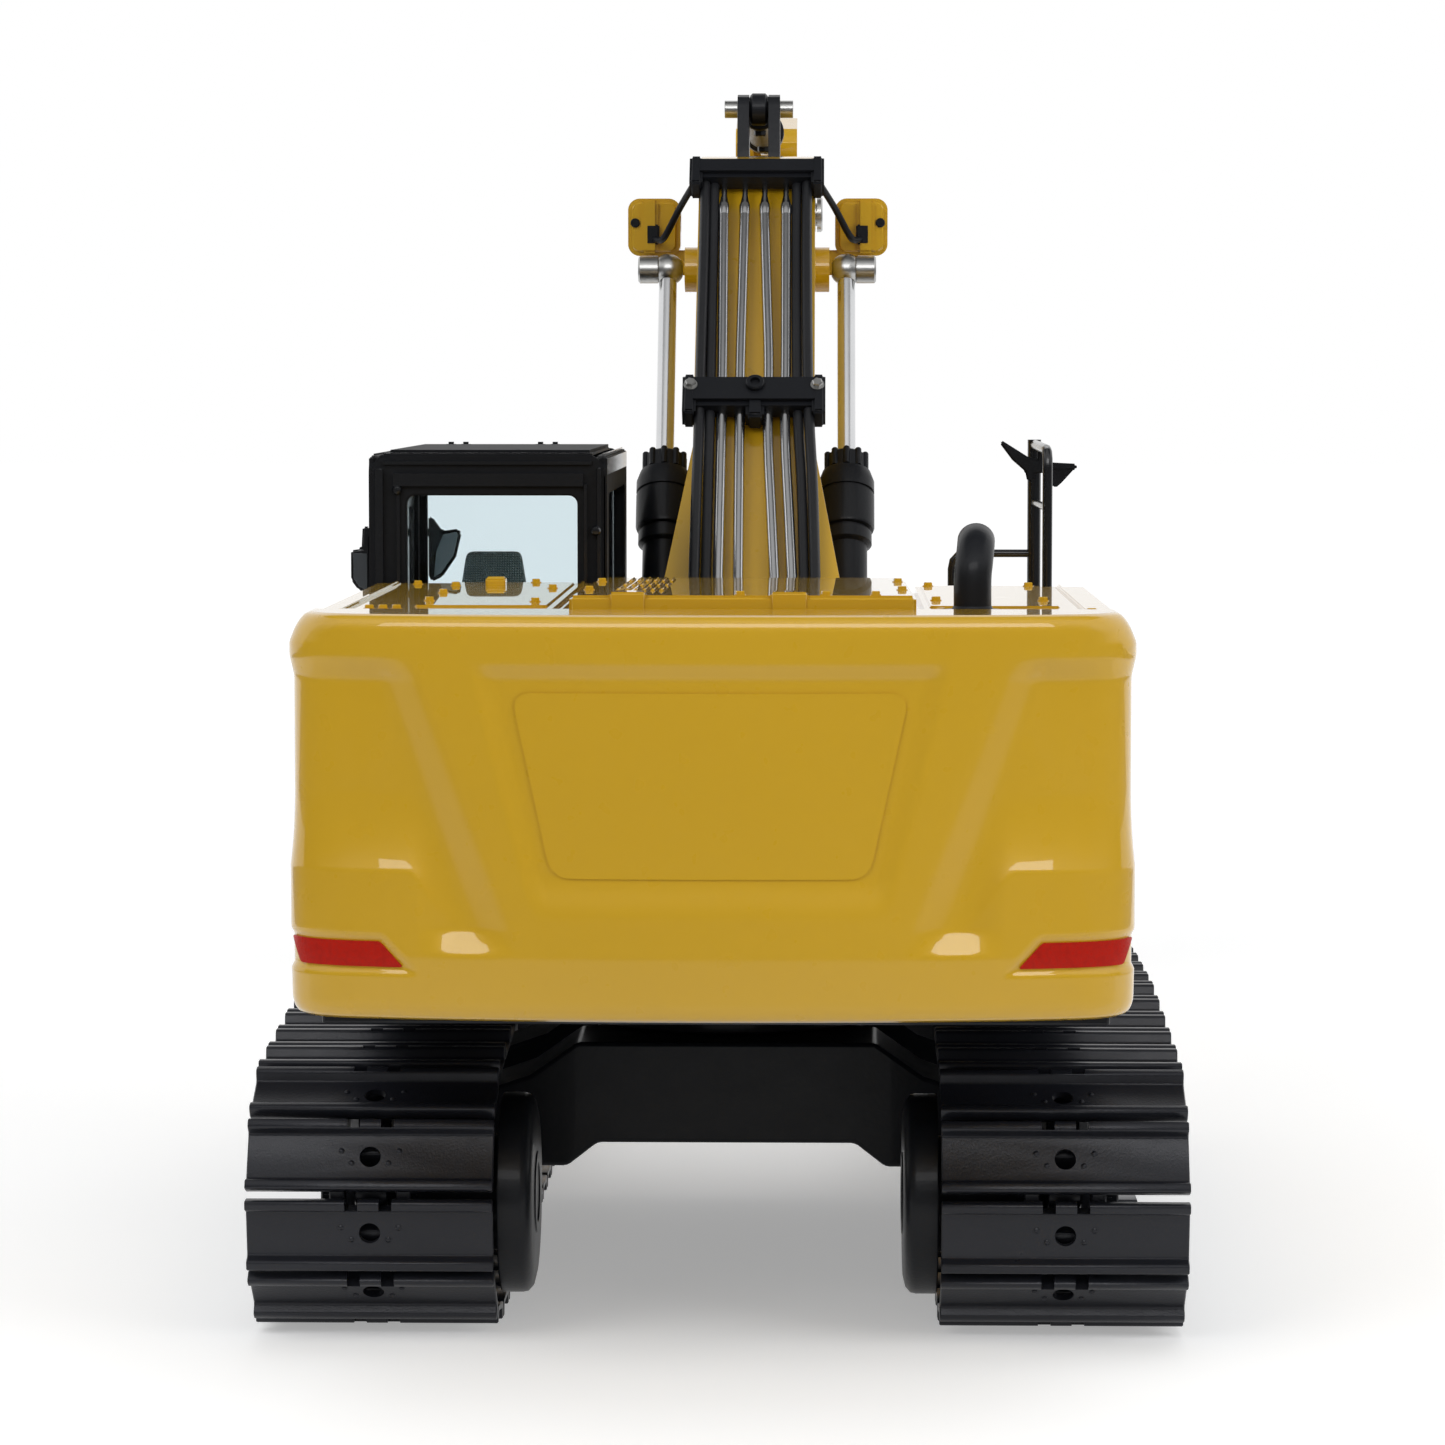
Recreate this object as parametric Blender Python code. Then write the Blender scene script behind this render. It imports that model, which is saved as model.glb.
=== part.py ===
"""Radio-controlled hydraulic excavator, standing on its tracks with the boom raised.

Every size below is in millimetres and every place is measured from the swing axis on the ground:
+X right, +Y forward, +Z up. Meshes become metres when they are made, and the whole machine is then
moved back so that the middle of its footprint is the origin.
"""

import math

import bmesh
import bpy
from mathutils import Vector

MM = 0.001
GAP = 0.3

# Whole machine
SWING_Y = -137.1
BOOM_X = 6.0

# Tracks
TRACK_X = 93.7
SHOE_WIDTH = 66.6
SHOE_COUNT = 36
CHAIN_PHASE = 0.084
SHOE_PLATE = 2.5
RIDGE_HEIGHT = 3.0
RAIL_HEIGHT = 7.0
RAIL_OFFSET = 9.0
RAIL_WIDTH = 4.0
WHEEL_Y = 145.0
WHEEL_Z = 37.0
BELT_RADIUS = 34.0
CARRIER_Y = 40.0
CARRIER_BELT_RADIUS = 16.5
TOP_RUN_Z = 78.5
SPROCKET_TEETH = 14
ROLLER_COUNT = 7
ROLLER_STEP = 36.0
ROLLER_RADIUS = 5.5

# Upper body, with heights from its own datum, which stands UPPER_LIFT above the ground
UPPER_LIFT = 8.6
DECK_Z = 192.0
HOOD_TOP = (197.0, 194.6)
BASE_Z = (82.5, 90.2)
BODY_HALF = 106.5
WEIGHT_HALF = 108.0
TAIL_Y = -252.0
WEIGHT_FRONT_Y = -216.0
WEIGHT_Z = (90.5, 193.5)
BAY_X = (-37.7, 52.7)
BAY_FRONT_Y = -60.0
CAB_X = (-107.0, -36.0)
CAB_Y = (-37.0, 98.0)
CAB_Z = (90.5, 231.5)
CAB_WALL = 3.0

# Working arm, as (y, z)
BOOM_FOOT = (8.0, 138.0)
BOOM_TIP = (436.0, 318.0)
BOOM_ROD_PIN = (146.5, 289.0)
BOOM_BASE_PIN = (47.0, 104.0)
BOOM_CYLINDER_X = 30.0
STICK_BASE_PIN = (186.0, 345.0)
STICK_TAIL = (400.0, 343.0)
STICK_ANGLE = -80.0
STICK_LENGTH = 232.0
LINK_LENGTH = 34.0
ROCKER_LENGTH = 32.0
ROCKER_ANGLE = 16.0
BOOM_HALF = 19.5
BUCKET_HALF = 52.5


def clear_scene():
    for old in list(bpy.data.objects):
        bpy.data.objects.remove(old, do_unlink=True)


def paint(name, colour, roughness, metallic=0.0):
    material = bpy.data.materials.new(name)
    material.use_nodes = True
    shader = material.node_tree.nodes["Principled BSDF"]
    shader.inputs["Base Color"].default_value = (*colour, 1.0)
    shader.inputs["Roughness"].default_value = roughness
    shader.inputs["Metallic"].default_value = metallic
    material.diffuse_color = (*colour, 1.0)
    return material


def body(name, x, y, z, parent=None):
    """An empty on a moving body's joint axis, which carries the body's pieces."""
    empty = bpy.data.objects.new(name, None)
    bpy.context.scene.collection.objects.link(empty)
    empty.location = Vector((x, y, z)) * MM
    if parent:
        empty.parent = parent
        empty.location -= Vector(parent["place"])
    empty["place"] = Vector((x, y, z)) * MM
    return empty


def place_object(name, data, material, carrier):
    """Makes an object of data that is written in machine coordinates, carried by an empty."""
    data.materials.append(material)
    piece = bpy.data.objects.new(name, data)
    bpy.context.scene.collection.objects.link(piece)
    piece.parent = carrier
    piece.location = -Vector(carrier["place"])
    return piece


def solid(name, shape, material, carrier, smooth=True):
    bmesh.ops.recalc_face_normals(shape, faces=shape.faces)
    bmesh.ops.scale(shape, vec=(MM, MM, MM), verts=shape.verts)
    mesh = bpy.data.meshes.new(name)
    shape.to_mesh(mesh)
    shape.free()
    if smooth:
        mesh.shade_smooth()
        mesh.set_sharp_from_angle(angle=math.radians(35))
    return place_object(name, mesh, material, carrier)


def combine(piece, operation, shapes):
    """Adds shapes to a piece, or cuts them from it, with one Boolean for each."""
    for number, shape in enumerate(shapes):
        helper_name = f"{piece.name}_{operation.lower()}_{len(piece.modifiers)}_{number}"
        helper = solid(helper_name, shape, piece.data.materials[0], piece.parent)
        helper.hide_render = True
        helper.display_type = "WIRE"
        step = piece.modifiers.new(helper_name, "BOOLEAN")
        step.operation = operation
        step.solver = "EXACT"
        step.object = helper
    return piece


def add(piece, *shapes):
    return combine(piece, "UNION", shapes)


def cut(piece, *shapes):
    return combine(piece, "DIFFERENCE", shapes)


def block(x, y, z):
    shape = bmesh.new()
    bmesh.ops.create_cube(shape, size=1.0)
    size = Vector((x[1] - x[0], y[1] - y[0], z[1] - z[0]))
    bmesh.ops.scale(shape, vec=size, verts=shape.verts)
    middle = Vector((x[0] + x[1], y[0] + y[1], z[0] + z[1])) / 2
    bmesh.ops.translate(shape, vec=middle, verts=shape.verts)
    return shape


def soft_block(x, y, z, radius, steps=2):
    """A block with all its edges rounded."""
    shape = block(x, y, z)
    bmesh.ops.bevel(shape, geom=shape.edges[:], offset=radius, segments=steps, affect="EDGES")
    return shape


def prism(outline, low, high, axis="X"):
    """A closed outline pushed along an axis. low and high are one number, or one for each corner."""
    count = len(outline)
    lows = low if isinstance(low, list) else [low] * count
    highs = high if isinstance(high, list) else [high] * count
    order = {"X": lambda a, b, t: (t, a, b), "Y": lambda a, b, t: (a, t, b), "Z": lambda a, b, t: (a, b, t)}
    at = order[axis]
    shape = bmesh.new()
    first = [shape.verts.new(at(a, b, t)) for (a, b), t in zip(outline, lows)]
    last = [shape.verts.new(at(a, b, t)) for (a, b), t in zip(outline, highs)]
    shape.faces.new(first)
    shape.faces.new(last[::-1])
    for i in range(count):
        j = (i + 1) % count
        shape.faces.new((first[i], last[i], last[j], first[j]))
    return shape


def turned(profile, origin, direction, sides=16):
    """A turned solid. profile lists (along, radius), and a closed ring when neither end is on the axis."""
    axis = Vector(direction).normalized()
    side = axis.orthogonal().normalized()
    other = axis.cross(side)
    ring = profile[0][1] > 0 and profile[-1][1] > 0
    shape = bmesh.new()
    rows = []
    for along, radius in profile:
        centre = Vector(origin) + axis * along
        if radius == 0:
            rows.append([shape.verts.new(centre)] * sides)
            continue
        row = []
        for n in range(sides):
            angle = 2 * math.pi * n / sides
            row.append(shape.verts.new(centre + radius * (side * math.cos(angle) + other * math.sin(angle))))
        rows.append(row)
    pairs = list(zip(rows, rows[1:]))
    if ring:
        pairs.append((rows[-1], rows[0]))
    for before, after in pairs:
        for n in range(sides):
            m = (n + 1) % sides
            corners = []
            for vert in (before[n], before[m], after[m], after[n]):
                if vert not in corners:
                    corners.append(vert)
            shape.faces.new(corners)
    return shape


def rod_along_x(x, y, z, radius, sides=16):
    length = x[1] - x[0]
    return turned([(0, 0), (0, radius), (length, radius), (length, 0)], (x[0], y, z), (1, 0, 0), sides)


def headed_pin(place, half, radius):
    """A pin across the boom's plane with a flat head on each end."""
    head = half + 2.2
    profile = [(-head, 0), (-head, 7.0), (-half, 7.0), (-half, radius)]
    profile += [(half, radius), (half, 7.0), (head, 7.0), (head, 0)]
    return turned(profile, (BOOM_X, *place), (1, 0, 0))


def capsule(start, end, start_radius, end_radius, steps=6):
    """The outline of a link with a round end about each of two points."""
    heading = math.atan2(end[1] - start[1], end[0] - start[0])
    outline = []
    ends = ((start, start_radius, heading + math.pi / 2), (end, end_radius, heading - math.pi / 2))
    for centre, radius, first in ends:
        for n in range(steps + 1):
            angle = first + math.pi * n / steps
            outline.append((centre[0] + radius * math.cos(angle), centre[1] + radius * math.sin(angle)))
    return outline


def tube(name, points, radius, material, carrier, resolution=2):
    """A round tube through points, made of a curve with filled ends."""
    curve = bpy.data.curves.new(name, "CURVE")
    curve.dimensions = "3D"
    curve.bevel_depth = radius * MM
    curve.bevel_resolution = resolution
    curve.use_fill_caps = True
    line = curve.splines.new("POLY")
    line.points.add(len(points) - 1)
    for knot, point in zip(line.points, points):
        knot.co = (*(Vector(point) * MM), 1.0)
    return place_object(name, curve, material, carrier)


def smooth_route(points, steps=4):
    """Points on a smooth curve through a route's own points."""
    route = [Vector(p) for p in points]
    route = [2 * route[0] - route[1], *route, 2 * route[-1] - route[-2]]
    found = []
    for before, start, end, after in zip(route, route[1:], route[2:], route[3:]):
        for n in range(steps):
            t = n / steps
            bend = 2 * start + (end - before) * t
            bend += (2 * before - 5 * start + 4 * end - after) * t**2
            bend += (3 * start - before - 3 * end + after) * t**3
            found.append(bend / 2)
    return [*found, route[-2]]


def stick_point(along, across):
    """A point of the stick as (y, z): along it from its pivot, and across it to its front side."""
    angle = math.radians(STICK_ANGLE)
    y = BOOM_TIP[0] + along * math.cos(angle) - across * math.sin(angle)
    z = BOOM_TIP[1] + along * math.sin(angle) + across * math.cos(angle)
    return y, z


def polar(centre, length, degrees):
    angle = math.radians(degrees)
    return centre[0] + length * math.cos(angle), centre[1] + length * math.sin(angle)


BUCKET_PIN = stick_point(STICK_LENGTH, 0)
ROCKER_PIN = stick_point(STICK_LENGTH - LINK_LENGTH, 0)
ROCKER_END = polar(ROCKER_PIN, ROCKER_LENGTH, ROCKER_ANGLE)
LINK_END = polar(BUCKET_PIN, ROCKER_LENGTH, ROCKER_ANGLE)
BUCKET_BASE_PIN = stick_point(8, 27)


def belt_line():
    """Evenly spaced shoe joints on the belt round the sprocket, idler and carrier rollers, as (y, z)."""
    carrier_z = TOP_RUN_Z - CARRIER_BELT_RADIUS
    wheels = [
        (-WHEEL_Y, WHEEL_Z, BELT_RADIUS),
        (WHEEL_Y, WHEEL_Z, BELT_RADIUS),
        (CARRIER_Y, carrier_z, CARRIER_BELT_RADIUS),
        (-CARRIER_Y, carrier_z, CARRIER_BELT_RADIUS),
    ]
    leaving = []
    for here, ahead in zip(wheels, wheels[1:] + wheels[:1]):
        heading = math.atan2(ahead[1] - here[1], ahead[0] - here[0])
        distance = math.dist(here[:2], ahead[:2])
        leaving.append(heading - math.acos((here[2] - ahead[2]) / distance))
    line = []
    for number, (y, z, radius) in enumerate(wheels):
        first = leaving[number - 1]
        turn = (leaving[number] - first) % (2 * math.pi)
        steps = 40
        line += [polar((y, z), radius, math.degrees(first + turn * n / steps)) for n in range(steps + 1)]
    lengths = [math.dist(a, b) for a, b in zip(line, line[1:] + line[:1])]
    pitch = sum(lengths) / SHOE_COUNT
    joints = []
    travelled = 0.0
    for start, end, length in zip(line, line[1:] + line[:1], lengths):
        while len(joints) < SHOE_COUNT and (len(joints) + CHAIN_PHASE) * pitch < travelled + length:
            part = ((len(joints) + CHAIN_PHASE) * pitch - travelled) / length
            joints.append((start[0] + (end[0] - start[0]) * part, start[1] + (end[1] - start[1]) * part))
        travelled += length
    return joints


def inward(joints, depth):
    """The belt's joints moved towards its inside."""
    moved = []
    for before, here, after in zip(joints[-1:] + joints[:-1], joints, joints[1:] + joints[:1]):
        heading = Vector((after[0] - before[0], after[1] - before[1])).normalized()
        moved.append((here[0] - heading.y * depth, here[1] + heading.x * depth))
    return moved


def shoe_outline(start, end):
    """The outer side of one shoe, from its first joint: a plate with a ridge along each edge."""
    along = Vector((end[0] - start[0], end[1] - start[1]))
    out = Vector((along.y, -along.x)).normalized() * RIDGE_HEIGHT
    steps = ((0.0, 0), (0.04, 1), (0.18, 1), (0.24, 0), (0.76, 0), (0.82, 1), (0.96, 1))
    return [tuple(Vector(start) + along * part + out * height) for part, height in steps]


def ring_band(outer_groups, inner_rows):
    """A closed band. Each group of outer points stands over one step of the inner loops, (x, points)."""
    shape = bmesh.new()
    count = len(outer_groups)
    inside = [[shape.verts.new((x, *p)) for p in points] for x, points in inner_rows]
    outside = []
    for x in (inner_rows[0][0], inner_rows[-1][0]):
        outside.append([[shape.verts.new((x, *p)) for p in group] for group in outer_groups])
    for n in range(count):
        m = (n + 1) % count
        runs = [groups[n] + [groups[m][0]] for groups in outside]
        for edge, run in zip((inside[0], inside[-1]), runs):
            shape.faces.new([edge[n], *run, edge[m]])
        rungs = list(zip(*runs))
        for low, high in zip(rungs, rungs[1:]):
            shape.faces.new((low[0], high[0], high[1], low[1]))
        for row, beside in zip(inside, inside[1:]):
            shape.faces.new((row[n], beside[n], beside[m], row[m]))
    return shape


def span(side, inner, outer):
    """Two distances from the machine's middle as an ordered pair of x on one side."""
    return tuple(sorted((side * inner, side * outer)))


def build_track(name, side, chassis, steel):
    joints = belt_line()
    groups = [shoe_outline(a, b) for a, b in zip(joints, joints[1:] + joints[:1])]
    plate = inward(joints, SHOE_PLATE)
    rail = inward(joints, SHOE_PLATE + RAIL_HEIGHT)
    rows = [(side * (TRACK_X - SHOE_WIDTH / 2), plate)]
    for centre in (TRACK_X - RAIL_OFFSET, TRACK_X + RAIL_OFFSET):
        near = side * (centre - RAIL_WIDTH / 2)
        far = side * (centre + RAIL_WIDTH / 2)
        rows += [(near, plate), (near, rail), (far, rail), (far, plate)]
    rows.append((side * (TRACK_X + SHOE_WIDTH / 2), plate))
    solid(f"{name}_track_chain", ring_band(groups, rows), steel, chassis, smooth=False)


def build_sprocket(name, side, chassis, steel):
    carrier = body(f"{name}_sprocket_axis", side * TRACK_X, -WHEEL_Y, WHEEL_Z, chassis)
    teeth = []
    bore = []
    for tooth in range(SPROCKET_TEETH):
        for step, radius in ((0.0, 24.4), (0.25, 24.4), (0.45, 28.2), (0.80, 28.2)):
            angle = 360 * (tooth + step) / SPROCKET_TEETH
            teeth.append([polar((-WHEEL_Y, WHEEL_Z), radius, angle)])
            bore.append(polar((-WHEEL_Y, WHEEL_Z), 6.4, angle))
    rows = [(side * TRACK_X - 4.5, bore), (side * TRACK_X + 4.5, bore)]
    wheel = solid(f"{name}_sprocket", ring_band(teeth, rows), steel, carrier)
    hub = [(0, 6.6), (0, 14.0), (8.0, 13.0), (8.0, 6.6)]
    add(wheel, turned(hub, (side * (TRACK_X + 4.0), -WHEEL_Y, WHEEL_Z), (side, 0, 0), 20))


def build_idler(name, side, chassis, steel):
    carrier = body(f"{name}_idler_axis", side * TRACK_X, WHEEL_Y, WHEEL_Z, chassis)
    profile = [(-11.0, 4.5), (-11.0, 21.8), (-6.0, 21.8), (-5.0, 26.5)]
    profile += [(5.0, 26.5), (6.0, 21.8), (11.0, 21.8), (11.0, 4.5)]
    wheel = turned(profile, (side * TRACK_X, WHEEL_Y, WHEEL_Z), (side, 0, 0), 24)
    solid(f"{name}_idler", wheel, steel, carrier)


def build_final_drive(name, side, chassis, metal):
    profile = [
        (50.5, 0),
        (50.5, 24.0),
        (52.0, 27.5),
        (59.8, 27.5),
        (59.8, 16.0),
        (80.0, 14.5),
        (85.0, 14.0),
        (85.0, 6.0),
        (106.2, 6.0),
        (106.2, 9.0),
        (109.4, 9.0),
        (109.4, 0),
    ]
    drive = turned(profile, (0, -WHEEL_Y, WHEEL_Z), (side, 0, 0), 20)
    solid(f"{name}_final_drive", drive, metal, chassis)


def build_track_frame(name, side, chassis, black):
    beam = [(-112, 27), (109, 27), (115, 33), (111, 41), (97, 46), (-96, 46), (-112, 40)]
    frame = solid(f"{name}_track_frame", prism(beam, *span(side, 76, 109)), black, chassis)
    for arm in ((76, 80), (105, 109)):
        fork = capsule((112, 34), (WHEEL_Y, WHEEL_Z), 7.0, 7.0)
        add(frame, prism(fork, *span(side, *arm)))
    add(frame, rod_along_x(span(side, 77, 108), WHEEL_Y, WHEEL_Z, 4.0))
    socket = prism([(-138, 25), (-108, 27.5), (-108, 41), (-138, 48)], *span(side, 62, 77))
    bore = rod_along_x(span(side, 60, 90), -WHEEL_Y, WHEEL_Z, 16.8, 24)
    cut(add(frame, socket), bore)
    for y in (-CARRIER_Y, CARRIER_Y):
        post = block(span(side, 88, 97), (y - 3.5, y + 3.5), (45, 60))
        add(frame, post, rod_along_x(span(side, 80.5, 104.7), y, 61.8, 5.0))


def build_roller_bank(name, side, chassis, steel):
    roller_z = 2 * RIDGE_HEIGHT + RAIL_HEIGHT + ROLLER_RADIUS + GAP - 0.5
    reach = (ROLLER_COUNT - 1) / 2 * ROLLER_STEP
    rail = block(span(side, 104.4, 108.4), (-reach - 6, reach + 6), (roller_z - 3.5, 26.6))
    bank = solid(f"{name}_roller_bank", rail, steel, chassis)
    for n in range(ROLLER_COUNT):
        y = n * ROLLER_STEP - reach
        add(bank, rod_along_x(span(side, 80.5, 105.0), y, roller_z, ROLLER_RADIUS, 12))


def build_lower_frame(chassis, black):
    arch = [(-75.6, 31), (-75.6, 50), (-58, 56), (-44, 65.9), (44, 65.9), (58, 56), (75.6, 50), (75.6, 31)]
    arch += [(56, 29), (47, 29), (38, 36), (-38, 36), (-47, 29), (-56, 29)]
    frame = solid("lower_frame", prism(arch, -60, 60, "Y"), black, chassis, smooth=False)
    pockets = [block(span(side, 40, 90), (-24, 24), (20, 80)) for side in (-1, 1)]
    cut(frame, *pockets)
    ring = [(0, 30.0), (0, 46.0), (9.5, 46.0), (9.5, 30.0)]
    solid("slew_ring", turned(ring, (0, 0, 66.3), (0, 0, 1), 36), black, chassis)


def build_upper_frame(upper, black, steel):
    low, high = BASE_Z
    plan = [(-104, -196), (104, -196), (104, 90), (98, 96), (44, 96), (38, 60)]
    plan += [(-26, 60), (-34, 96), (-98, 96), (-104, 90)]
    frame = solid("upper_frame", prism(plan, low, high, "Z"), black, upper, smooth=False)
    add(frame, turned([(0, 0), (0, 43), (16, 43), (16, 0)], (0, 0, 67.6), (0, 0, 1), 32))
    y, z = BOOM_FOOT
    cheek = [(y - 34, high - 1), (y + 24, high - 1), (y + 13, z + 6), (y + 7, z + 12)]
    cheek += [(y - 7, z + 12), (y - 13, z + 6)]
    for side in (-1, 1):
        add(frame, prism(cheek, *(BOOM_X + at for at in span(side, 26.6, 32.0))))
    cut(frame, rod_along_x((BOOM_X - 40, BOOM_X + 40), y, z, 5.0))
    y, z = BOOM_BASE_PIN
    lug = [(y - 9, high - 1), (y + 9, high - 1), (y + 7, z + 4)]
    lug += [(y + 3, z + 8), (y - 3, z + 8), (y - 7, z + 4)]
    for side in (-1, 1):
        middle = BOOM_X + side * BOOM_CYLINDER_X
        for inner, outer in ((-8.2, -5.2), (5.2, 8.2)):
            add(frame, prism(lug, middle + inner, middle + outer))
        add(frame, rod_along_x((middle - 8.0, middle + 8.0), y, z, 3.2))
    add(frame, block(BAY_X, (BAY_FRONT_Y - 3, BAY_FRONT_Y), (high - 1, 186.0)))
    solid("boom_foot_pin", headed_pin(BOOM_FOOT, 32.3, 4.6), steel, upper)


def ease(value, low, high):
    """0 below low, 1 above high, and a smooth rise between."""
    part = min(max((value - low) / (high - low), 0.0), 1.0)
    return part * part * (3 - 2 * part)


def quarter_round(depth, size):
    """How far a rounded edge of one size has drawn in at a depth past its start."""
    return 1 - math.sqrt(1 - min(max(depth / size, 0.0), 1.0) ** 2)


def weight_inset(x, z):
    """How far the counterweight's rear skin lies under its full outline."""
    reach = abs(x)
    scoop_edge = 50.0 + 24.0 * (z - 115.0) / 66.0
    ledge = 14.0 * ease(reach, 63, 77)
    scoop = ease(reach, scoop_edge, scoop_edge + 11.0) * (1 - 0.8 * ease(reach, 90, 106))
    scoop *= ease(z, 112.5 + ledge, 119.5 + ledge) * (1 - ease(z, 176.0, 183.0))
    panel_edge = 44.0 + 14.0 * (z - 124.0) / 57.0
    panel = 1 - ease(reach, panel_edge - 5, panel_edge + 5)
    panel *= ease(z, 118.5, 127.0) * (1 - ease(z, 176.5, 182.0))
    tilt = 1.6 * max((107.0 - z) / 16.5, 0.0) * (1 - 0.8 * ease(reach, 84, 106))
    foot = 3.0 * quarter_round(WEIGHT_Z[0] + 5.0 - z, 5.0)
    top = 2.4 * quarter_round(z - WEIGHT_Z[1] + 5.0, 5.0)
    return 3.0 * scoop + 1.3 * panel + tilt + foot + top


def weight_plan(part):
    """A point (x, y) of the counterweight's plan and its outward direction. part runs from -1 to 1."""
    angle = math.radians(90 * part)
    x = WEIGHT_HALF * math.copysign(abs(math.sin(angle)) ** 0.92, part)
    edge = abs(x) / WEIGHT_HALF
    y = TAIL_Y + 9.0 * edge**2 + 15.0 * (1 - math.sqrt(max(1 - edge**12, 0.0)))
    across = math.copysign(edge**10, x) + 0.16 * x / WEIGHT_HALF
    out = Vector((across, -math.sqrt(max(1 - edge**20, 0.0)) - 0.02))
    return x, y, out.normalized()


def build_counterweight(upper, yellow, red):
    levels = [90.5, 92, 95.5, 104, 112.5, 117, 122, 127, 133, 150, 172, 177, 183, 188.5, 192, 193.5]
    parts = [n / 13 for n in range(-13, 14)]
    shape = bmesh.new()
    rings = []
    for z in levels:
        ring = []
        for part in parts:
            x, y, out = weight_plan(part)
            depth = weight_inset(x, z)
            ring.append(shape.verts.new((x - out.x * depth, y - out.y * depth, z)))
        side = WEIGHT_HALF - weight_inset(WEIGHT_HALF, z)
        ring.append(shape.verts.new((side, WEIGHT_FRONT_Y, z)))
        ring.append(shape.verts.new((-side, WEIGHT_FRONT_Y, z)))
        rings.append(ring)
    for low, high in zip(rings, rings[1:]):
        for n in range(len(low)):
            m = (n + 1) % len(low)
            shape.faces.new((low[n], low[m], high[m], high[n]))
    shape.faces.new(rings[0])
    shape.faces.new(rings[-1][::-1])
    solid("counterweight", shape, yellow, upper)
    build_reflector("left_reflector", -1, upper, red)
    build_reflector("right_reflector", 1, upper, red)


def build_reflector(name, side, upper, red):
    """A thin lens that lies on the counterweight's lower corner."""
    shape = bmesh.new()
    layers = []
    for lift in (2 * GAP, 2 * GAP + 0.7):
        rows = []
        for z, first, last in ((104.3, 0.494, 0.85), (107.5, 0.526, 0.92), (110.8, 0.558, 0.985)):
            row = []
            for n in range(7):
                part = side * (first + (last - first) * n / 6)
                x, y, out = weight_plan(part)
                row.append(shape.verts.new((x + out.x * lift, y + out.y * lift, z)))
            rows.append(row)
        layers.append(rows)
    for rows in layers:
        for low, high in zip(rows, rows[1:]):
            for n in range(6):
                shape.faces.new((low[n], low[n + 1], high[n + 1], high[n]))
    rims = []
    for rows in layers:
        rim = rows[0] + [row[-1] for row in rows[1:]] + rows[-1][-2::-1] + [row[0] for row in rows[-2:0:-1]]
        rims.append(rim)
    for n in range(len(rims[0])):
        m = (n + 1) % len(rims[0])
        shape.faces.new((rims[0][n], rims[0][m], rims[1][m], rims[1][n]))
    solid(name, shape, red, upper)


def build_housings(upper, yellow):
    wall = 3.0
    back = WEIGHT_FRONT_Y + GAP
    left_x = (-BODY_HALF + 0.5, BAY_X[0] - GAP)
    foot = BASE_Z[1] + GAP
    left = solid("left_housing", soft_block(left_x, (back, -41.0), (foot, DECK_Z), 2.0), yellow, upper)
    cut(left, block((left_x[0] + wall, left_x[1] - wall), (back + wall, -41.0 - wall), (80, DECK_Z - wall)))
    right_x = (BAY_X[1] + GAP, BODY_HALF - 0.5)
    outline = [(back, foot), (94, foot), (94, 173), (88, 180), (-52, 181.5), (-60, DECK_Z), (back, DECK_Z)]
    right = solid("right_housing", prism(outline, *right_x), yellow, upper, smooth=False)
    inside = [(back + wall, 80), (91, 80), (91, 172), (87, 177), (-54, 178.5)]
    inside += [(-62, DECK_Z - wall), (back + wall, DECK_Z - wall)]
    cut(right, prism(inside, right_x[0] + wall, right_x[1] - wall))


def build_hood(upper, yellow):
    carrier = body("engine_hood_axis", 0, WEIGHT_FRONT_Y + 2.5, 194.0, upper)
    x = (BAY_X[0] + 0.4, BAY_X[1] - 0.4)
    y = (WEIGHT_FRONT_Y + 1.2, BAY_FRONT_Y + 2)
    low = DECK_Z - 5.6
    side = [(y[0], low), (y[1], low), (y[1], HOOD_TOP[1]), (y[0], HOOD_TOP[0])]
    hood = solid("engine_hood", prism(side, *x), yellow, carrier, smooth=False)
    cut(hood, block((x[0] + 2.5, x[1] - 2.5), (y[0] + 2.5, y[1] - 2.5), (DECK_Z - 9, DECK_Z - 0.5)))


def build_power_pack(upper, black, steel, blue):
    high = BASE_Z[1] + GAP
    battery = soft_block((-32, 12), (-205, -120), (high, high + 36), 2.5, 1)
    solid("battery", battery, blue, upper)
    valves = solid("valve_block", soft_block((-30, 46), (-104, -72), (high, high + 34), 1.5, 1), steel, upper)
    for n in range(5):
        x = -22 + 15 * n
        add(valves, turned([(0, 0), (0, 4), (16, 4), (16, 0)], (x, -88, high + 33), (0, 0, 1), 12))
    profile = [(0, 0), (0, 15), (52, 15), (52, 9), (76, 9), (76, 0)]
    solid("hydraulic_pump", turned(profile, (32, -205, high + 15.2), (0, 1, 0), 20), black, upper)


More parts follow.
